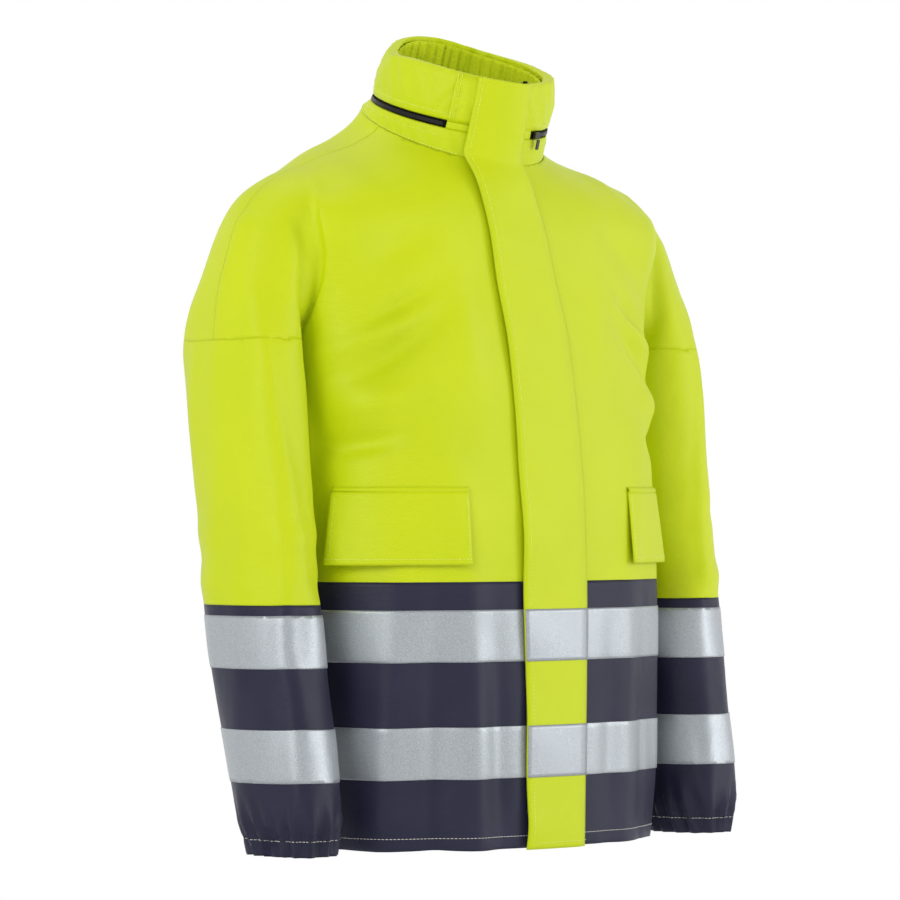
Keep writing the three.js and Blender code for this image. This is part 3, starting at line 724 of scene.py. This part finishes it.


def make_panels():
    """Fronts, back and the body's tapes, all cut from the trunk's skin."""
    trunk = ~IS_ARM & ~IS_EDGE
    regions = {name: trunk & IS_FRONT & side_of(side) for name, side in SIDES.items()}
    regions["back"] = trunk & ~IS_FRONT
    is_navy = CENTRES[:, 2] < NAVY_TOP
    for name, region in regions.items():
        panel = name if name == "back" else f"{name}_front"
        skin_piece(f"{panel}_upper_cloth", region & ~is_navy, "yellow", "root", nodes=[f"{panel}_upper"])
        skin_piece(f"{panel}_lower_cloth", region & is_navy, "navy", "root", nodes=[f"{panel}_lower"])
    for level, span in (("upper", TAPE_HIGH), ("lower", TAPE_LOW)):
        for name, region in regions.items():
            tape_on_skin(f"{name}_body", level, region & between(span), "root")


def tape_on_skin(place, level, mask, body):
    skin_piece(
        f"{place}_silver_{level}", mask, "tape", body,
        TAPE_LIFT, TAPE_THICK, TAPE_DIP, [f"{place}_tape_{level}"],
    )


def make_sleeves():
    """Each sleeve's cloth below its dropped seam: the yellow upper cloth rides on no body, and the rest
    swings with its body.
    """
    for name, side in SIDES.items():
        arm = IS_ARM & side_of(side)
        body = f"{name}_sleeve"
        is_yellow = CENTRES[:, 2] > SLEEVE_NAVY_TOP
        top = SLEEVE_TOP / 1000 + HEM_Z
        middle = side * ARM_X / 1000
        skin_piece(
            f"{body}_upper_cloth", arm & is_yellow, "yellow", None, nodes=[f"{body}_upper"],
            blend=(body, (middle, 0.0, top), (middle, 0.0, top - SLEEVE_BLEND)),
        )
        skin_piece(f"{body}_lower_cloth", arm & ~is_yellow, "navy", body, nodes=[f"{body}_lower"])
        for level, span in (("upper", SLEEVE_TAPE_HIGH), ("lower", SLEEVE_TAPE_LOW)):
            tape_on_skin(body, level, arm & between(span), body)
        make_cuff_elastic(name, side)


def make_cuff_elastic(name, side):
    """The gathered elastic channel inside the cuff's edge."""
    inset = -3.6
    gather_height = 0.8
    gather_count = 22
    wrist = 6  # the arm ring just above the cuff
    rings = arm_rings(side)
    angles = np.linspace(0, 2 * math.pi, 88, endpoint=False)
    rows = []
    for height in np.linspace(CUFF_Z + 2, CUFF_Z + 17, 5):
        level = wrist + (rings[wrist][0] - height) / (rings[wrist][0] - rings[wrist + 1][0])
        loop = ring_points(ring_at(rings, min(level, wrist + 1.9)), angles, inset)
        gather = gather_height * np.cos(gather_count * angles + 0.5 * math.sin(height))
        loop[:, 0] += gather * np.cos(angles)
        loop[:, 1] += gather * np.sin(angles)
        loop[:, 2] = height
        rows.append(loop)
    grid = np.array(rows)
    normals = grid_normals(grid, wrap=True)
    grid_piece(
        f"{name}_cuff_band", grid, normals, "navy", f"{name}_sleeve", -CLOTH,
        nodes=[f"{name}_cuff_elastic"], wrap=True,
    )


# ---------- collar ----------

ZIP_TILT = 0.3
FRONT = -math.pi / 2
TURN = 2 * math.pi
# Collar heights are levels: 0 is the neck seam, 1 the hood's zip and 3 the rim.
COLLAR_RINGS = [
    NECK_RING,
    np.array([BODY_LENGTH + 22, 0, -1, 88, 88 / math.hypot(1, ZIP_TILT), 2, ZIP_TILT]),
    np.array([BODY_LENGTH + 49, 0, -9, 85, 82, 2, 0.33]),
    np.array([BODY_LENGTH + 75, 0, -16, 82, 80, 2, 0.36]),
]
# Angles run from the front centre to the wearer's left, in radians.
OPENING = math.asin(EDGE_HALF_GAP / NECK_HALF_WIDTH)
SLIDER_ROOM = 0.075
HOOD_ZIP_START = 0.21
HOOD_ZIP_END = TURN - 0.86
COLLAR_COLUMNS = 200


def collar_grid(profile, start, end, columns, shape=None):
    """A strip round the collar: profile is (level, offset) points, from outer foot to inner."""
    angles = FRONT + np.linspace(start, end, columns)
    radial = np.stack([np.cos(angles), np.sin(angles), 0 * angles], axis=-1)
    rows = []
    for level, offset in profile:
        loop = ring_points(ring_at(COLLAR_RINGS, level), angles, 0.0)
        extra = shape(angles - FRONT, level) if shape else 0.0
        loop = loop + radial * np.reshape(offset + extra, (-1, 1))
        loop[:, 2] -= rim_sag(angles - FRONT, level)
        rows.append(loop)
    return np.array(rows)


def collar_piece(
    name, profile, start, end, material, thick, columns=COLLAR_COLUMNS, shape=None, nodes=(),
):
    grid = collar_grid(profile, start, end, columns, shape)
    return grid_piece(name, grid, grid_normals(grid), material, "root", -thick, nodes=nodes)


def ramp(value, low, high):
    """0 below low, 1 above high and straight between."""
    return min(max((value - low) / (high - low), 0), 1)


def roll_shape(angle, level):
    """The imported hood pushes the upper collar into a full, slightly uneven roll."""
    full = 2.2 * math.sin(math.pi * ramp(level, 1.1, 3.0))
    wave = 0.9 * np.sin(5 * angle + 1.3 * level) + 0.5 * np.sin(13 * angle - 2 * level)
    fine = 0.5 + 0.5 * np.sin(3 * angle + 0.5)
    creased = 0.9 * np.sin(27 * angle + 5 * level) * fine
    creased += 0.6 * np.sin(44 * angle - 9 * level) * (1 - fine)
    return ramp(level, 1.05, 1.55) * (full + wave) + creased * ramp(level, 1.1, 1.6)


def rim_sag(angle, level):
    """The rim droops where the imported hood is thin, most at the wearer's right."""
    drop = 11 * hump(angle, 4.05, 0.62) + 4 * hump(angle, 2.2, 0.6)
    return drop * ramp(level, 1.4, 2.9)


def stand_creases(angle, level):
    """Slanting puckers in the stand, below the hood's zip."""
    middle = math.sin(math.pi * ramp(level, 0, 0.86))
    return 1.2 * middle * hump(angle, 5.0, 0.7) * np.sin(34 * angle + 7 * level)


def lining_gathers(angle, level):
    deep = 1.4 * np.sin(46 * angle + 1.5 * np.sin(7 * angle)) + 0.7 * np.sin(83 * angle)
    return deep * (1 - ramp(level, 2.5, 3.0))


def make_collar():
    around = (OPENING, TURN - OPENING)
    stand = [(-0.14, -0.4), (-0.08, 0.9), (0.1, 0.9), (0.3, 0.9), (0.5, 1.0), (0.7, 0.9)]
    stand += [(0.82, 0.4), (0.86, -0.6)]
    collar_piece(
        "collar_stand_cloth", stand, *around, "yellow", CLOTH,
        columns=320, shape=stand_creases, nodes=["collar_lower"],
    )
    roll = [(1.14, -0.6), (1.18, 0.5), (1.3, 0.9)]
    roll += [(level, 1.0) for level in np.linspace(1.5, 2.7, 9)]
    roll += [
        (2.93 + 0.11 * math.sin(turn), -4.6 + 5.4 * math.cos(turn))
        for turn in np.linspace(0.15, math.pi - 0.1, 9)
    ]
    roll.append((2.6, -10.2))
    collar_piece(
        "collar_roll_cloth", roll, *around, "yellow", CLOTH,
        shape=roll_shape, nodes=["collar_upper", "packed_hood"],
    )
    inside = [(level, -11.6) for level in np.linspace(2.75, 0.45, 16)]
    collar_piece(
        "collar_lining_cloth", inside, *around, "lining", 0.8,
        columns=420, shape=lining_gathers, nodes=["collar_lining"],
    )
    band = [(0.88, -1.2), (0.92, 0.0), (1.0, 0.1), (1.08, 0.0), (1.12, -1.2)]
    collar_piece(
        "hood_zip_band", band, HOOD_ZIP_START, HOOD_ZIP_END, "black", 1.0, nodes=["hood_zip_tape"],
    )
    fill = [(0.84, 0.4), (0.92, 0.6), (1.08, 0.6), (1.18, 0.5)]
    collar_piece(
        "collar_front_fill_right", fill, HOOD_ZIP_END, TURN - SLIDER_ROOM, "yellow", CLOTH, columns=24,
    )
    collar_piece("collar_front_fill_left", fill, SLIDER_ROOM, HOOD_ZIP_START, "yellow", CLOTH, columns=8)
    facing = [(1.1, 1.3), (1.3, 2.1), (2.0, 2.6), (2.6, 2.4), (2.95, 1.0)]
    collar_piece(
        "collar_facing_strip", facing, HOOD_ZIP_END, TURN - 0.5, "yellow", 1.0,
        columns=20, shape=roll_shape, nodes=["collar_facing"],
    )
    loop = [(0.85, -13.6), (1.0, -14.4), (1.2, -14.4), (1.32, -13.6)]
    collar_piece(
        "hanging_loop", loop, math.pi - 0.3, math.pi + 0.3, "black", 1.2, columns=20, nodes=["hang_loop"],
    )


# ---------- teeth and stitches ----------

UNIT_BOX = np.array([
    [x, y, z] for x in (-0.5, 0.5) for y in (-0.5, 0.5) for z in (-0.5, 0.5)
])
BOX_FACES = [(0, 1, 3, 2), (4, 6, 7, 5), (0, 4, 5, 1), (2, 3, 7, 6), (0, 2, 6, 4), (1, 5, 7, 3)]
STITCH = (2.5, 0.55, 0.4)  # length, width and height
STITCH_PITCH = 3.8
STITCH_LIFT = 0.2
HEM_STITCH_Z = 12.0
CUFF_STITCH_Z = 15.0
FLAP_STITCH_IN = 0.45  # grid steps from the storm flap's edge


def small_bars(name, places, size, material, body):
    """Many small bars: each place is (centre, along, outward), size is (along, across, out)."""
    points = []
    faces = []
    for index, (centre, along, outward) in enumerate(places):
        across = np.cross(outward, along)
        local = UNIT_BOX * np.array(size)
        points.append(
            centre + local[:, :1] * along + local[:, 1:2] * across + local[:, 2:] * outward
        )
        faces += [tuple(index * 8 + corner for corner in face) for face in BOX_FACES]
    return new_piece(name, np.vstack(points), faces, material, body, smooth=False)


def along_line(line, normals, pitch, lift):
    """Evenly spaced (centre, along, outward) places on a polyline with normals."""
    line = np.asarray(line, dtype=float)
    normals = np.asarray(normals, dtype=float)
    steps = np.linalg.norm(np.diff(line, axis=0), axis=1)
    run = np.concatenate([[0], np.cumsum(steps)])
    stops = np.arange(pitch / 2, run[-1], pitch)

    def sampled(values, at):
        return np.stack([np.interp(at, run, values[:, axis]) for axis in range(3)], axis=-1)

    places = []
    ahead = sampled(line, stops + 0.5)
    for centre, normal, target in zip(sampled(line, stops), sampled(normals, stops), ahead):
        along = target - centre
        size = np.linalg.norm(along)
        if size < 1e-6:
            continue
        normal = normal / np.linalg.norm(normal)
        along = along / size
        normal = normal - along * np.dot(normal, along)
        normal = normal / np.linalg.norm(normal)
        places.append((centre + normal * lift, along, normal))
    return places


def skin_line(tree, rays):
    """Points and normals where rays (origin, direction) meet a surface."""
    line = []
    normals = []
    for origin, direction in rays:
        place, normal, _, _ = tree.ray_cast(Vector(origin), Vector(direction))
        if place is not None:
            normal = normal if normal.dot(Vector(direction)) < 0 else -normal
            line.append(np.array(place))
            normals.append(np.array(normal))
    return line, normals


def inward_rays(centre, z, start, end, count):
    """Level rays from a wide circle towards its centre."""
    far = 400
    rays = []
    for angle in np.linspace(start, end, count):
        direction = (-math.cos(angle), -math.sin(angle), 0)
        origin = (centre[0] + far * math.cos(angle), centre[1] + far * math.sin(angle), z)
        rays.append((origin, direction))
    return rays


def make_stitches():
    """The hem's, the cuffs' and the collar's stitching."""
    hem = skin_line(TRUNK_TREE, inward_rays((0, 3), HEM_STITCH_Z, FRONT + 0.03, FRONT + TURN - 0.03, 400))
    small_bars("hem_stitches", along_line(*hem, STITCH_PITCH, 0.25), STITCH, "white", "root")
    for name, side in SIDES.items():
        tree = skin_tree(IS_ARM & side_of(side))
        centre = (side * (ARM_X - 2), -55, CUFF_Z + CUFF_STITCH_Z)
        outward = [(math.cos(angle), math.sin(angle), 0) for angle in np.linspace(0, TURN, 120)]
        line, _ = skin_line(tree, [(centre, direction) for direction in outward])
        cuff = along_line(line, outward, STITCH_PITCH, 0.3)
        small_bars(f"{name}_cuff_stitches", cuff, STITCH, "white", f"{name}_sleeve")
    rows = []
    for level, end in ((0.62, TURN - 0.9), (1.4, TURN - 0.9), (0.1, TURN - 0.65)):
        grid = collar_grid([(level - 0.02, 1.0), (level + 0.02, 1.0)], 0.2, end, 300, roll_shape)
        rows += along_line(grid[0], grid_normals(grid)[0], STITCH_PITCH, 0.1)
    for angle in (TURN - 0.84, TURN - 0.80):
        profile = [(level, 2.35) for level in np.linspace(1.2, 2.85, 30)]
        grid = collar_grid(profile, angle, angle + 0.02, 2, roll_shape)
        rows += along_line(grid[:, 0], grid_normals(grid)[:, 0], STITCH_PITCH, 0.25)
    small_bars("collar_stitches", rows, STITCH, "lime", "root")


# ---------- storm flap ----------

FLAP_LOW = -1.5
FLAP_FREE = -43.0
FLAP_SEWN = 42.0
FLAP_LIFT = 5.2  # room for the zip under the flap
FLAP_THICK = 1.8
FLAP_BEND = 0.03  # metres inside the sewn edge where the flap's blend ends
FLAP_ROWS = 190
FLAP_COLUMNS = 18
FLAP_NECK = BODY_LENGTH - 26
FLAP_STATIONS = np.array([  # height, free edge and sewn edge
    (FLAP_LOW, FLAP_FREE + 2, FLAP_SEWN - 3),
    (NAVY_TOP, FLAP_FREE, FLAP_SEWN),
    (UNDERARM, FLAP_FREE - 1, FLAP_SEWN),
    (UNDERARM + 100, FLAP_FREE - 5, FLAP_SEWN - 12),
    (FLAP_NECK, FLAP_FREE - 8, FLAP_SEWN - 26),
])
FLAP_COLLAR_LEVELS = (0.12, 3.0)
FLAP_COLLAR_ANGLES = (-0.62, 0.1)
RIM_DRAW = 0.5  # how far a flap's edge is drawn in, which rounds it


def neck_seam_height(x):
    """Height of the neck seam over a point across the front."""
    seam_z, _, seam_y, half_width, half_depth = NECK_RING[:5]
    forward = seam_y - half_depth * math.sqrt(max(1 - (x / half_width) ** 2, 0))
    return seam_z + NECK_TILT * (forward - seam_y)


def flap_grid():
    """The front's surface under the flap, from hem to collar rim, smoothed up and down."""
    heights, free_edge, sewn_edge = FLAP_STATIONS.T
    rows = []
    for share in np.linspace(0, 1, FLAP_ROWS):
        z = FLAP_LOW + share * (FLAP_NECK - FLAP_LOW)
        free = np.interp(z, heights, free_edge)
        free += 1.3 * math.sin(z / 61.0) + 0.8 * math.sin(z / 23.0 + 1)
        row = []
        for x in np.linspace(free, np.interp(z, heights, sewn_edge), FLAP_COLUMNS):
            level = FLAP_LOW + share * (neck_seam_height(x) - 2 - FLAP_LOW)
            place, _ = front_hit(TRUNK_TREE, x, max(level, 3.0))
            row.append((x, place[1] if place else -80.0, level))
        rows.append(row)
    angles = FRONT + np.linspace(*FLAP_COLLAR_ANGLES, FLAP_COLUMNS)
    levels = np.linspace(*FLAP_COLLAR_LEVELS, 34)
    collar = [ring_points(ring_at(COLLAR_RINGS, level), angles, 1.0) for level in levels]
    grid = np.vstack([np.array(rows), np.array(collar)])
    for _ in range(8):
        softer = grid.copy()
        softer[1:-1] = (grid[:-2] + 2 * grid[1:-1] + grid[2:]) / 4
        grid = softer
    return grid


def flap_lift(grid):
    """Room for the zip under the flap, less at the sewn edge, with slight waves."""
    share = np.linspace(0, 1, grid.shape[1])[None, :]
    z = grid[:, :, 2]
    sewn = 1 - 0.75 * smooth_step(share, 0.86, 1.0)
    waves = 0.7 * np.sin(z / 37.0) * (1 - share) + 0.5 * np.sin(z / 15.0 + 4 * share) * (1 - share)
    foot = 1.6 * hump(z, 20, 18) * (1 - share)
    neck = 4.0 * hump(z, 650, 26) * sewn
    return FLAP_LIFT * sewn + waves + foot + neck


def bends_with_flap():
    """The blend for cloth on the flap: the flap's body, its sewn edge and a point just inside it."""
    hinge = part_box("storm_flap")[1][0]
    return "storm_flap", (hinge, 0, 0), (hinge - FLAP_BEND, 0, 0)


def make_storm_flap():
    grid = flap_grid()
    middle = FLAP_COLUMNS // 2
    outward, _ = front_facing(grid, middle)
    shaped = grid + outward * flap_lift(grid)[:, :, None]
    normals, turned = front_facing(shaped, middle)
    grid_piece(
        "storm_flap_cloth", shaped, normals, "yellow", None, -FLAP_THICK,
        nodes=["storm_flap", "storm_flap_seam"], turned=turned, rim=RIM_DRAW, blend=bends_with_flap(),
    )
    for level, span in (("upper", TAPE_HIGH), ("lower", TAPE_LOW)):
        tape_on_flap(level, span, shaped, normals)
    edge = mix(shaped[:, 1], shaped[:, 2], FLAP_STITCH_IN)
    places = along_line(edge, normals[:, 1], STITCH_PITCH, STITCH_LIFT)
    foot = mix(shaped[1], shaped[2], 0.8)
    places += along_line(foot[2:], normals[1][2:], STITCH_PITCH, STITCH_LIFT)
    small_bars("storm_flap_stitches", places, STITCH, "lime", "storm_flap")
    make_snaps()


def tape_on_flap(level, span, shaped, normals):
    """A tape segment right across the flap, with its ends at the flap's edges."""
    count = 16
    heights = np.linspace(*span, count)
    grid = np.empty((count, FLAP_COLUMNS, 3))
    facing = np.empty_like(grid)
    for column in range(FLAP_COLUMNS):
        z = shaped[:, column, 2]
        for axis in range(3):
            grid[:, column, axis] = np.interp(heights, z, shaped[:, column, axis])
            facing[:, column, axis] = np.interp(heights, z, normals[:, column, axis])
    _, turned = front_facing(grid, FLAP_COLUMNS // 2)
    grid_piece(
        f"storm_flap_silver_{level}", grid, facing, "tape", None, 0.15, outer=0.75,
        nodes=[f"storm_flap_tape_{level}"], turned=turned, blend=bends_with_flap(),
    )


def turned_disc(name, centre, outward, profile, material, body, node):
    """A turned piece: profile is (radius, out) points from the rim's back to the centre."""
    sides = 28
    outward = np.array(outward, dtype=float)
    outward /= np.linalg.norm(outward)
    across = np.cross(outward, [0, 0, 1.0])
    across /= np.linalg.norm(across)
    upward = np.cross(across, outward)
    points = []
    for radius, out in profile:
        for angle in np.linspace(0, TURN, sides, endpoint=False):
            spoke = across * math.cos(angle) + upward * math.sin(angle)
            points.append(centre + outward * out + radius * spoke)
    points.append(centre + outward * profile[0][1])
    points.append(centre + outward * profile[-1][1])
    piece = new_piece(name, np.array(points), capped_faces(len(profile), sides), material, body)
    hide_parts(node)


def make_snaps():
    """Ring snaps: studs on the right front and sockets on the flap's underside."""
    stud = [(4.8, 0), (4.8, 0.5), (4.3, 0.8), (3, 0.8), (2.6, 0.5), (2, 0.6), (1.7, 1.5), (1.2, 1.7)]
    socket = [(4.8, 0), (4.8, 0.7), (4.2, 1.1), (2.6, 1.1), (2.3, 0.5), (1.5, 0.5)]
    for index in range(1, 5):
        low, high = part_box(f"snap_stud_{index}")
        x = (low[0] + high[0]) * 500
        z = ((low[2] + high[2]) / 2 - HEM_Z) * 1000
        place, normal = front_hit(TRUNK_TREE, x, z)
        place = np.array(place)
        out = np.array(normal) if normal[1] < 0 else -np.array(normal)
        for kind, lift, facing, profile, body in (
            ("stud", 0.1, out, stud, "root"), ("socket", 3.3, -out, socket, "storm_flap"),
        ):
            turned_disc(
                f"snap_{kind}_ring_{index}", place + out * lift, facing, profile,
                "metal", body, f"snap_{kind}_{index}",
            )


# ---------- pockets ----------

POCKET_INNER_X = 106.0
POCKET_TURN = 73  # degrees that the flap wraps towards the side
POCKET_ROWS = 26
POCKET_COLUMNS = 60
POCKET_THICK = 1.6
POCKET_BEND = 0.018  # metres below the top edge where the flap's blend ends
STITCH_STEPS = 2  # grid steps from a pocket flap's edges to its stitching


def pocket_rays(side, z):
    """Rays that fan from the pocket's inner end, square to the front, round to its outer end."""
    rays = []
    for share in np.linspace(0, 1, POCKET_COLUMNS):
        turn = math.radians(-90 + POCKET_TURN * share**1.15)
        reach = Vector((math.cos(turn), math.sin(turn)))
        base = Vector((POCKET_INNER_X - 8 * share, -20 + 6 * share))
        origin = base + reach * 300
        rays.append(((side * origin.x, origin.y, z), (-side * reach.x, -reach.y, 0)))
    return rays


def pocket_surface(side, low, high, rows):
    """The front's surface at the pocket: a grid from the top down, its normals, and their turn."""
    lines = [skin_line(TRUNK_TREE, pocket_rays(side, z))[0] for z in np.linspace(high, low, rows)]
    grid = np.array(lines)
    for _ in range(10):
        softer = grid.copy()
        softer[:, 1:-1] = (grid[:, :-2] + 2 * grid[:, 1:-1] + grid[:, 2:]) / 4
        softer[1:-1] = (softer[:-2] + 2 * softer[1:-1] + softer[2:]) / 4
        grid = softer
    return grid, *front_facing(grid, 0)


def make_pockets():
    for name, side in SIDES.items():
        make_pocket_flap(name, side)
        make_pocket_bag(name, side)


def make_pocket_flap(name, side):
    """A flap that stands off more towards its foot and flares at its outer end, and its welt."""
    body = f"{name}_pocket_flap"
    grid, normals, turned = pocket_surface(side, POCKET_LOW, POCKET_TOP, POCKET_ROWS)
    down = np.linspace(0, 1, POCKET_ROWS)[:, None]
    out = np.linspace(0, 1, POCKET_COLUMNS)[None, :]
    flare = 13.0 * (0.25 + 0.75 * down) * out**3 + 2.0 * down * (1 - out) ** 4
    waves = 0.8 * np.sin(9 * out + 1.0) * down + 0.5 * np.sin(21 * out) * down**2
    lift = 2.4 + 2.2 * down + flare + waves
    shaped = grid + normals * lift[:, :, None]
    top = POCKET_TOP / 1000 + HEM_Z
    grid_piece(
        f"{body}_cloth", shaped, normals, "yellow", None, -POCKET_THICK, nodes=[body],
        turned=turned, rim=RIM_DRAW, blend=(body, (0, 0, top), (0, 0, top - POCKET_BEND)),
    )
    welt, welt_normals, _ = pocket_surface(side, POCKET_TOP - 2, POCKET_TOP + 5, 6)
    bulge = 3.4 * np.sin(np.linspace(0.15, math.pi - 0.15, 6))[:, None]
    grid_piece(
        f"{name}_pocket_welt_cloth", welt + welt_normals * bulge[:, :, None], welt_normals,
        "yellow", "root", -1.0, nodes=[f"{name}_pocket_welt"], turned=turned,
    )
    inner = STITCH_STEPS
    outer = -STITCH_STEPS - 1
    lines = along_line(shaped[outer], normals[outer], STITCH_PITCH, STITCH_LIFT)
    for column in (inner, outer):
        lines += along_line(
            shaped[inner:outer, column], normals[inner:outer, column], STITCH_PITCH, STITCH_LIFT,
        )
    small_bars(f"{name}_pocket_stitches", lines, STITCH, "lime", body)


def make_pocket_bag(name, side):
    """Flat pocketing that hangs inside the front."""
    low, high = node_span(f"{name}_pocket_bag")
    grid, normals, turned = pocket_surface(side, low + 2, high - 2, 20)
    keep = slice(3, POCKET_COLUMNS - 6)
    sag = 0.6 * np.sin(14 * np.linspace(0, 1, POCKET_COLUMNS))[None, :, None]
    inner = (grid - normals * (4.6 + sag))[:, keep]
    grid_piece(
        f"{name}_pocket_bag_cloth", inner, normals[:, keep], "lining", "root", -1.0,
        nodes=[f"{name}_pocket_bag"], turned=turned,
    )


# ---------- zips ----------

TOOTH = (1.7, 4.2, 2.0)
TOOTH_PITCH = 3.1
TOOTH_MIDDLE_X = 1.3
ZIP_TAPE = (0.4, 15.5)  # a tape's edges from the centre line
ZIP_DEPTH = 2.4  # the tape behind the front's outer face
COIL = (0.9, 1.7, 0.7)
COIL_PITCH = 1.7
ZIP_HARDWARE = (
    "front_zip_slider", "front_zip_pull", "front_zip_retainer", "hood_zip_slider", "hood_zip_pull",
)


def make_front_zip():
    """Two tapes behind the fronts' edges, with moulded teeth that mesh on the centre line."""
    columns = 5
    for name, side in SIDES.items():
        rows = []
        for z in np.linspace(10, BODY_LENGTH - 34, 120):
            row = []
            for x in np.linspace(*ZIP_TAPE, columns):
                place, _ = front_hit(TRUNK_TREE, side * max(x, 5.0), z)
                row.append((side * x, place[1] + ZIP_DEPTH, z))
            rows.append(row)
        body = np.array(rows)
        zip_tape(body, f"front_zip_tape_{name}", f"front_zip_{name}")
        offsets = np.linspace(ZIP_TAPE[0], ZIP_TAPE[1] - 0.3, columns) / NECK_HALF_WIDTH * side
        collar = np.array([
            ring_points(ring_at(COLLAR_RINGS, level), FRONT + offsets, -2.9)
            for level in np.linspace(0.02, 2.95, 26)
        ])
        zip_tape(collar, f"collar_zip_tape_{name}", f"collar_zip_{name}")
        stagger = TOOTH_PITCH / 2 if side > 0 else 0.0
        line = [row[0] + np.array([side * TOOTH_MIDDLE_X, -1.2, stagger]) for row in body]
        line += [row[0] + np.array([side * TOOTH_MIDDLE_X, -1.6, stagger]) for row in collar]
        forward = [np.array([0, -1.0, 0])] * len(line)
        teeth = along_line(line, forward, TOOTH_PITCH, 0.4)
        small_bars(f"front_zip_teeth_{name}", teeth, TOOTH, "black", "root")


def zip_tape(grid, name, node):
    normals, turned = front_facing(grid, 2)
    grid_piece(name, grid, normals, "black", "root", -0.8, nodes=[node], turned=turned)


def make_hood_zip_coil():
    """The hood zip's coil, in two rows along the middle of its tape."""
    for level, label in ((0.965, "low"), (1.035, "high")):
        profile = [(level - 0.01, 0.1), (level + 0.01, 0.1)]
        grid = collar_grid(profile, HOOD_ZIP_START + 0.03, HOOD_ZIP_END - 0.04, 500)
        coil = along_line(grid[0], grid_normals(grid)[0], COIL_PITCH, 0.1)
        small_bars(f"hood_zip_coil_{label}", coil, COIL, "metal", "root")


def finish_hardware():
    """The zips' sliders, pulls and retainer keep their CAD shape and take the enamel."""
    for node in ZIP_HARDWARE:
        mesh = bpy.data.objects[node].data
        mesh.materials.clear()
        mesh.materials.append(MATERIALS["metal"])


make_panels()
make_sleeves()
make_collar()
make_storm_flap()
make_pockets()
make_front_zip()
make_hood_zip_coil()
make_stitches()
finish_hardware()

# ---------- floor, light and camera ----------

FLOOR_DROP = 0.55
FLOOR_REACH = 2.6


def make_floor():
    material = bpy.data.materials.new("plain_floor")
    material.use_nodes = True
    shader_of(material).inputs["Base Color"].default_value = (0.9, 0.9, 0.9, 1)
    shader_of(material).inputs["Roughness"].default_value = 0.95
    mesh = bpy.data.meshes.new("floor")
    turns = ((-1, -1), (1, -1), (1, 1), (-1, 1))
    corners = [(x * FLOOR_REACH, y * FLOOR_REACH, HEM_Z - FLOOR_DROP) for x, y in turns]
    mesh.from_pydata(corners, [], [(0, 1, 2, 3)])
    mesh.materials.append(material)
    floor = bpy.data.objects.new("floor", mesh)
    bpy.context.scene.collection.objects.link(floor)


def make_sky():
    """A white studio that is dimmer overhead, so that folds keep their shading."""
    world = bpy.data.worlds.new("studio")
    world.use_nodes = True
    tree = world.node_tree
    background = tree.nodes["Background"]
    background.inputs["Strength"].default_value = 1.0
    sky = add_node(tree, "ShaderNodeTexCoord")
    split = add_node(tree, "ShaderNodeSeparateXYZ")
    fade = add_node(tree, "ShaderNodeMapRange")
    for socket, value in (("From Min", 0.3), ("From Max", 0.75), ("To Min", 1.0), ("To Max", 0.35)):
        fade.inputs[socket].default_value = value
    wire(tree, sky, "Generated", split, "Vector")
    wire(tree, split, "Z", fade, "Value")
    wire(tree, fade, "Result", background, "Color")
    bpy.context.scene.world = world


def area_light(name, place, size, power):
    """A soft round light that faces the jacket's middle; place is metres from the hem's centre."""
    light = bpy.data.lights.new(name, "AREA")
    light.shape = "DISK"
    light.size = size
    light.energy = power
    lamp = bpy.data.objects.new(name, light)
    lamp.location = Vector(place) + Vector((0, 0, HEM_Z))
    towards = Vector((0, 0, HEM_Z + 0.4)) - lamp.location
    lamp.rotation_euler = towards.to_track_quat("-Z", "Y").to_euler()
    bpy.context.scene.collection.objects.link(lamp)


AZIMUTH = math.radians(42)
DISTANCE = 5.0
LENS = 202.3
EYE_HEIGHT = 0.340


def make_camera():
    """A level camera to the wearer's front right."""
    data = bpy.data.cameras.new("camera")
    data.lens = LENS
    data.sensor_width = 36
    data.shift_x = -0.010
    data.shift_y = 0.050
    camera = bpy.data.objects.new("camera", data)
    camera.location = (
        -DISTANCE * math.sin(AZIMUTH), -DISTANCE * math.cos(AZIMUTH), HEM_Z + EYE_HEIGHT,
    )
    camera.rotation_euler = (math.pi / 2, 0, -AZIMUTH)
    bpy.context.scene.collection.objects.link(camera)
    bpy.context.scene.camera = camera


make_floor()
make_sky()
area_light("key", (-3.0, -1.0, 1.7), 1.3, 34)
area_light("fill", (2.4, -2.4, 0.9), 1.6, 32)
area_light("top", (0.0, 0.6, 2.8), 1.6, 14)
make_camera()
bpy.context.scene.view_settings.view_transform = "Standard"
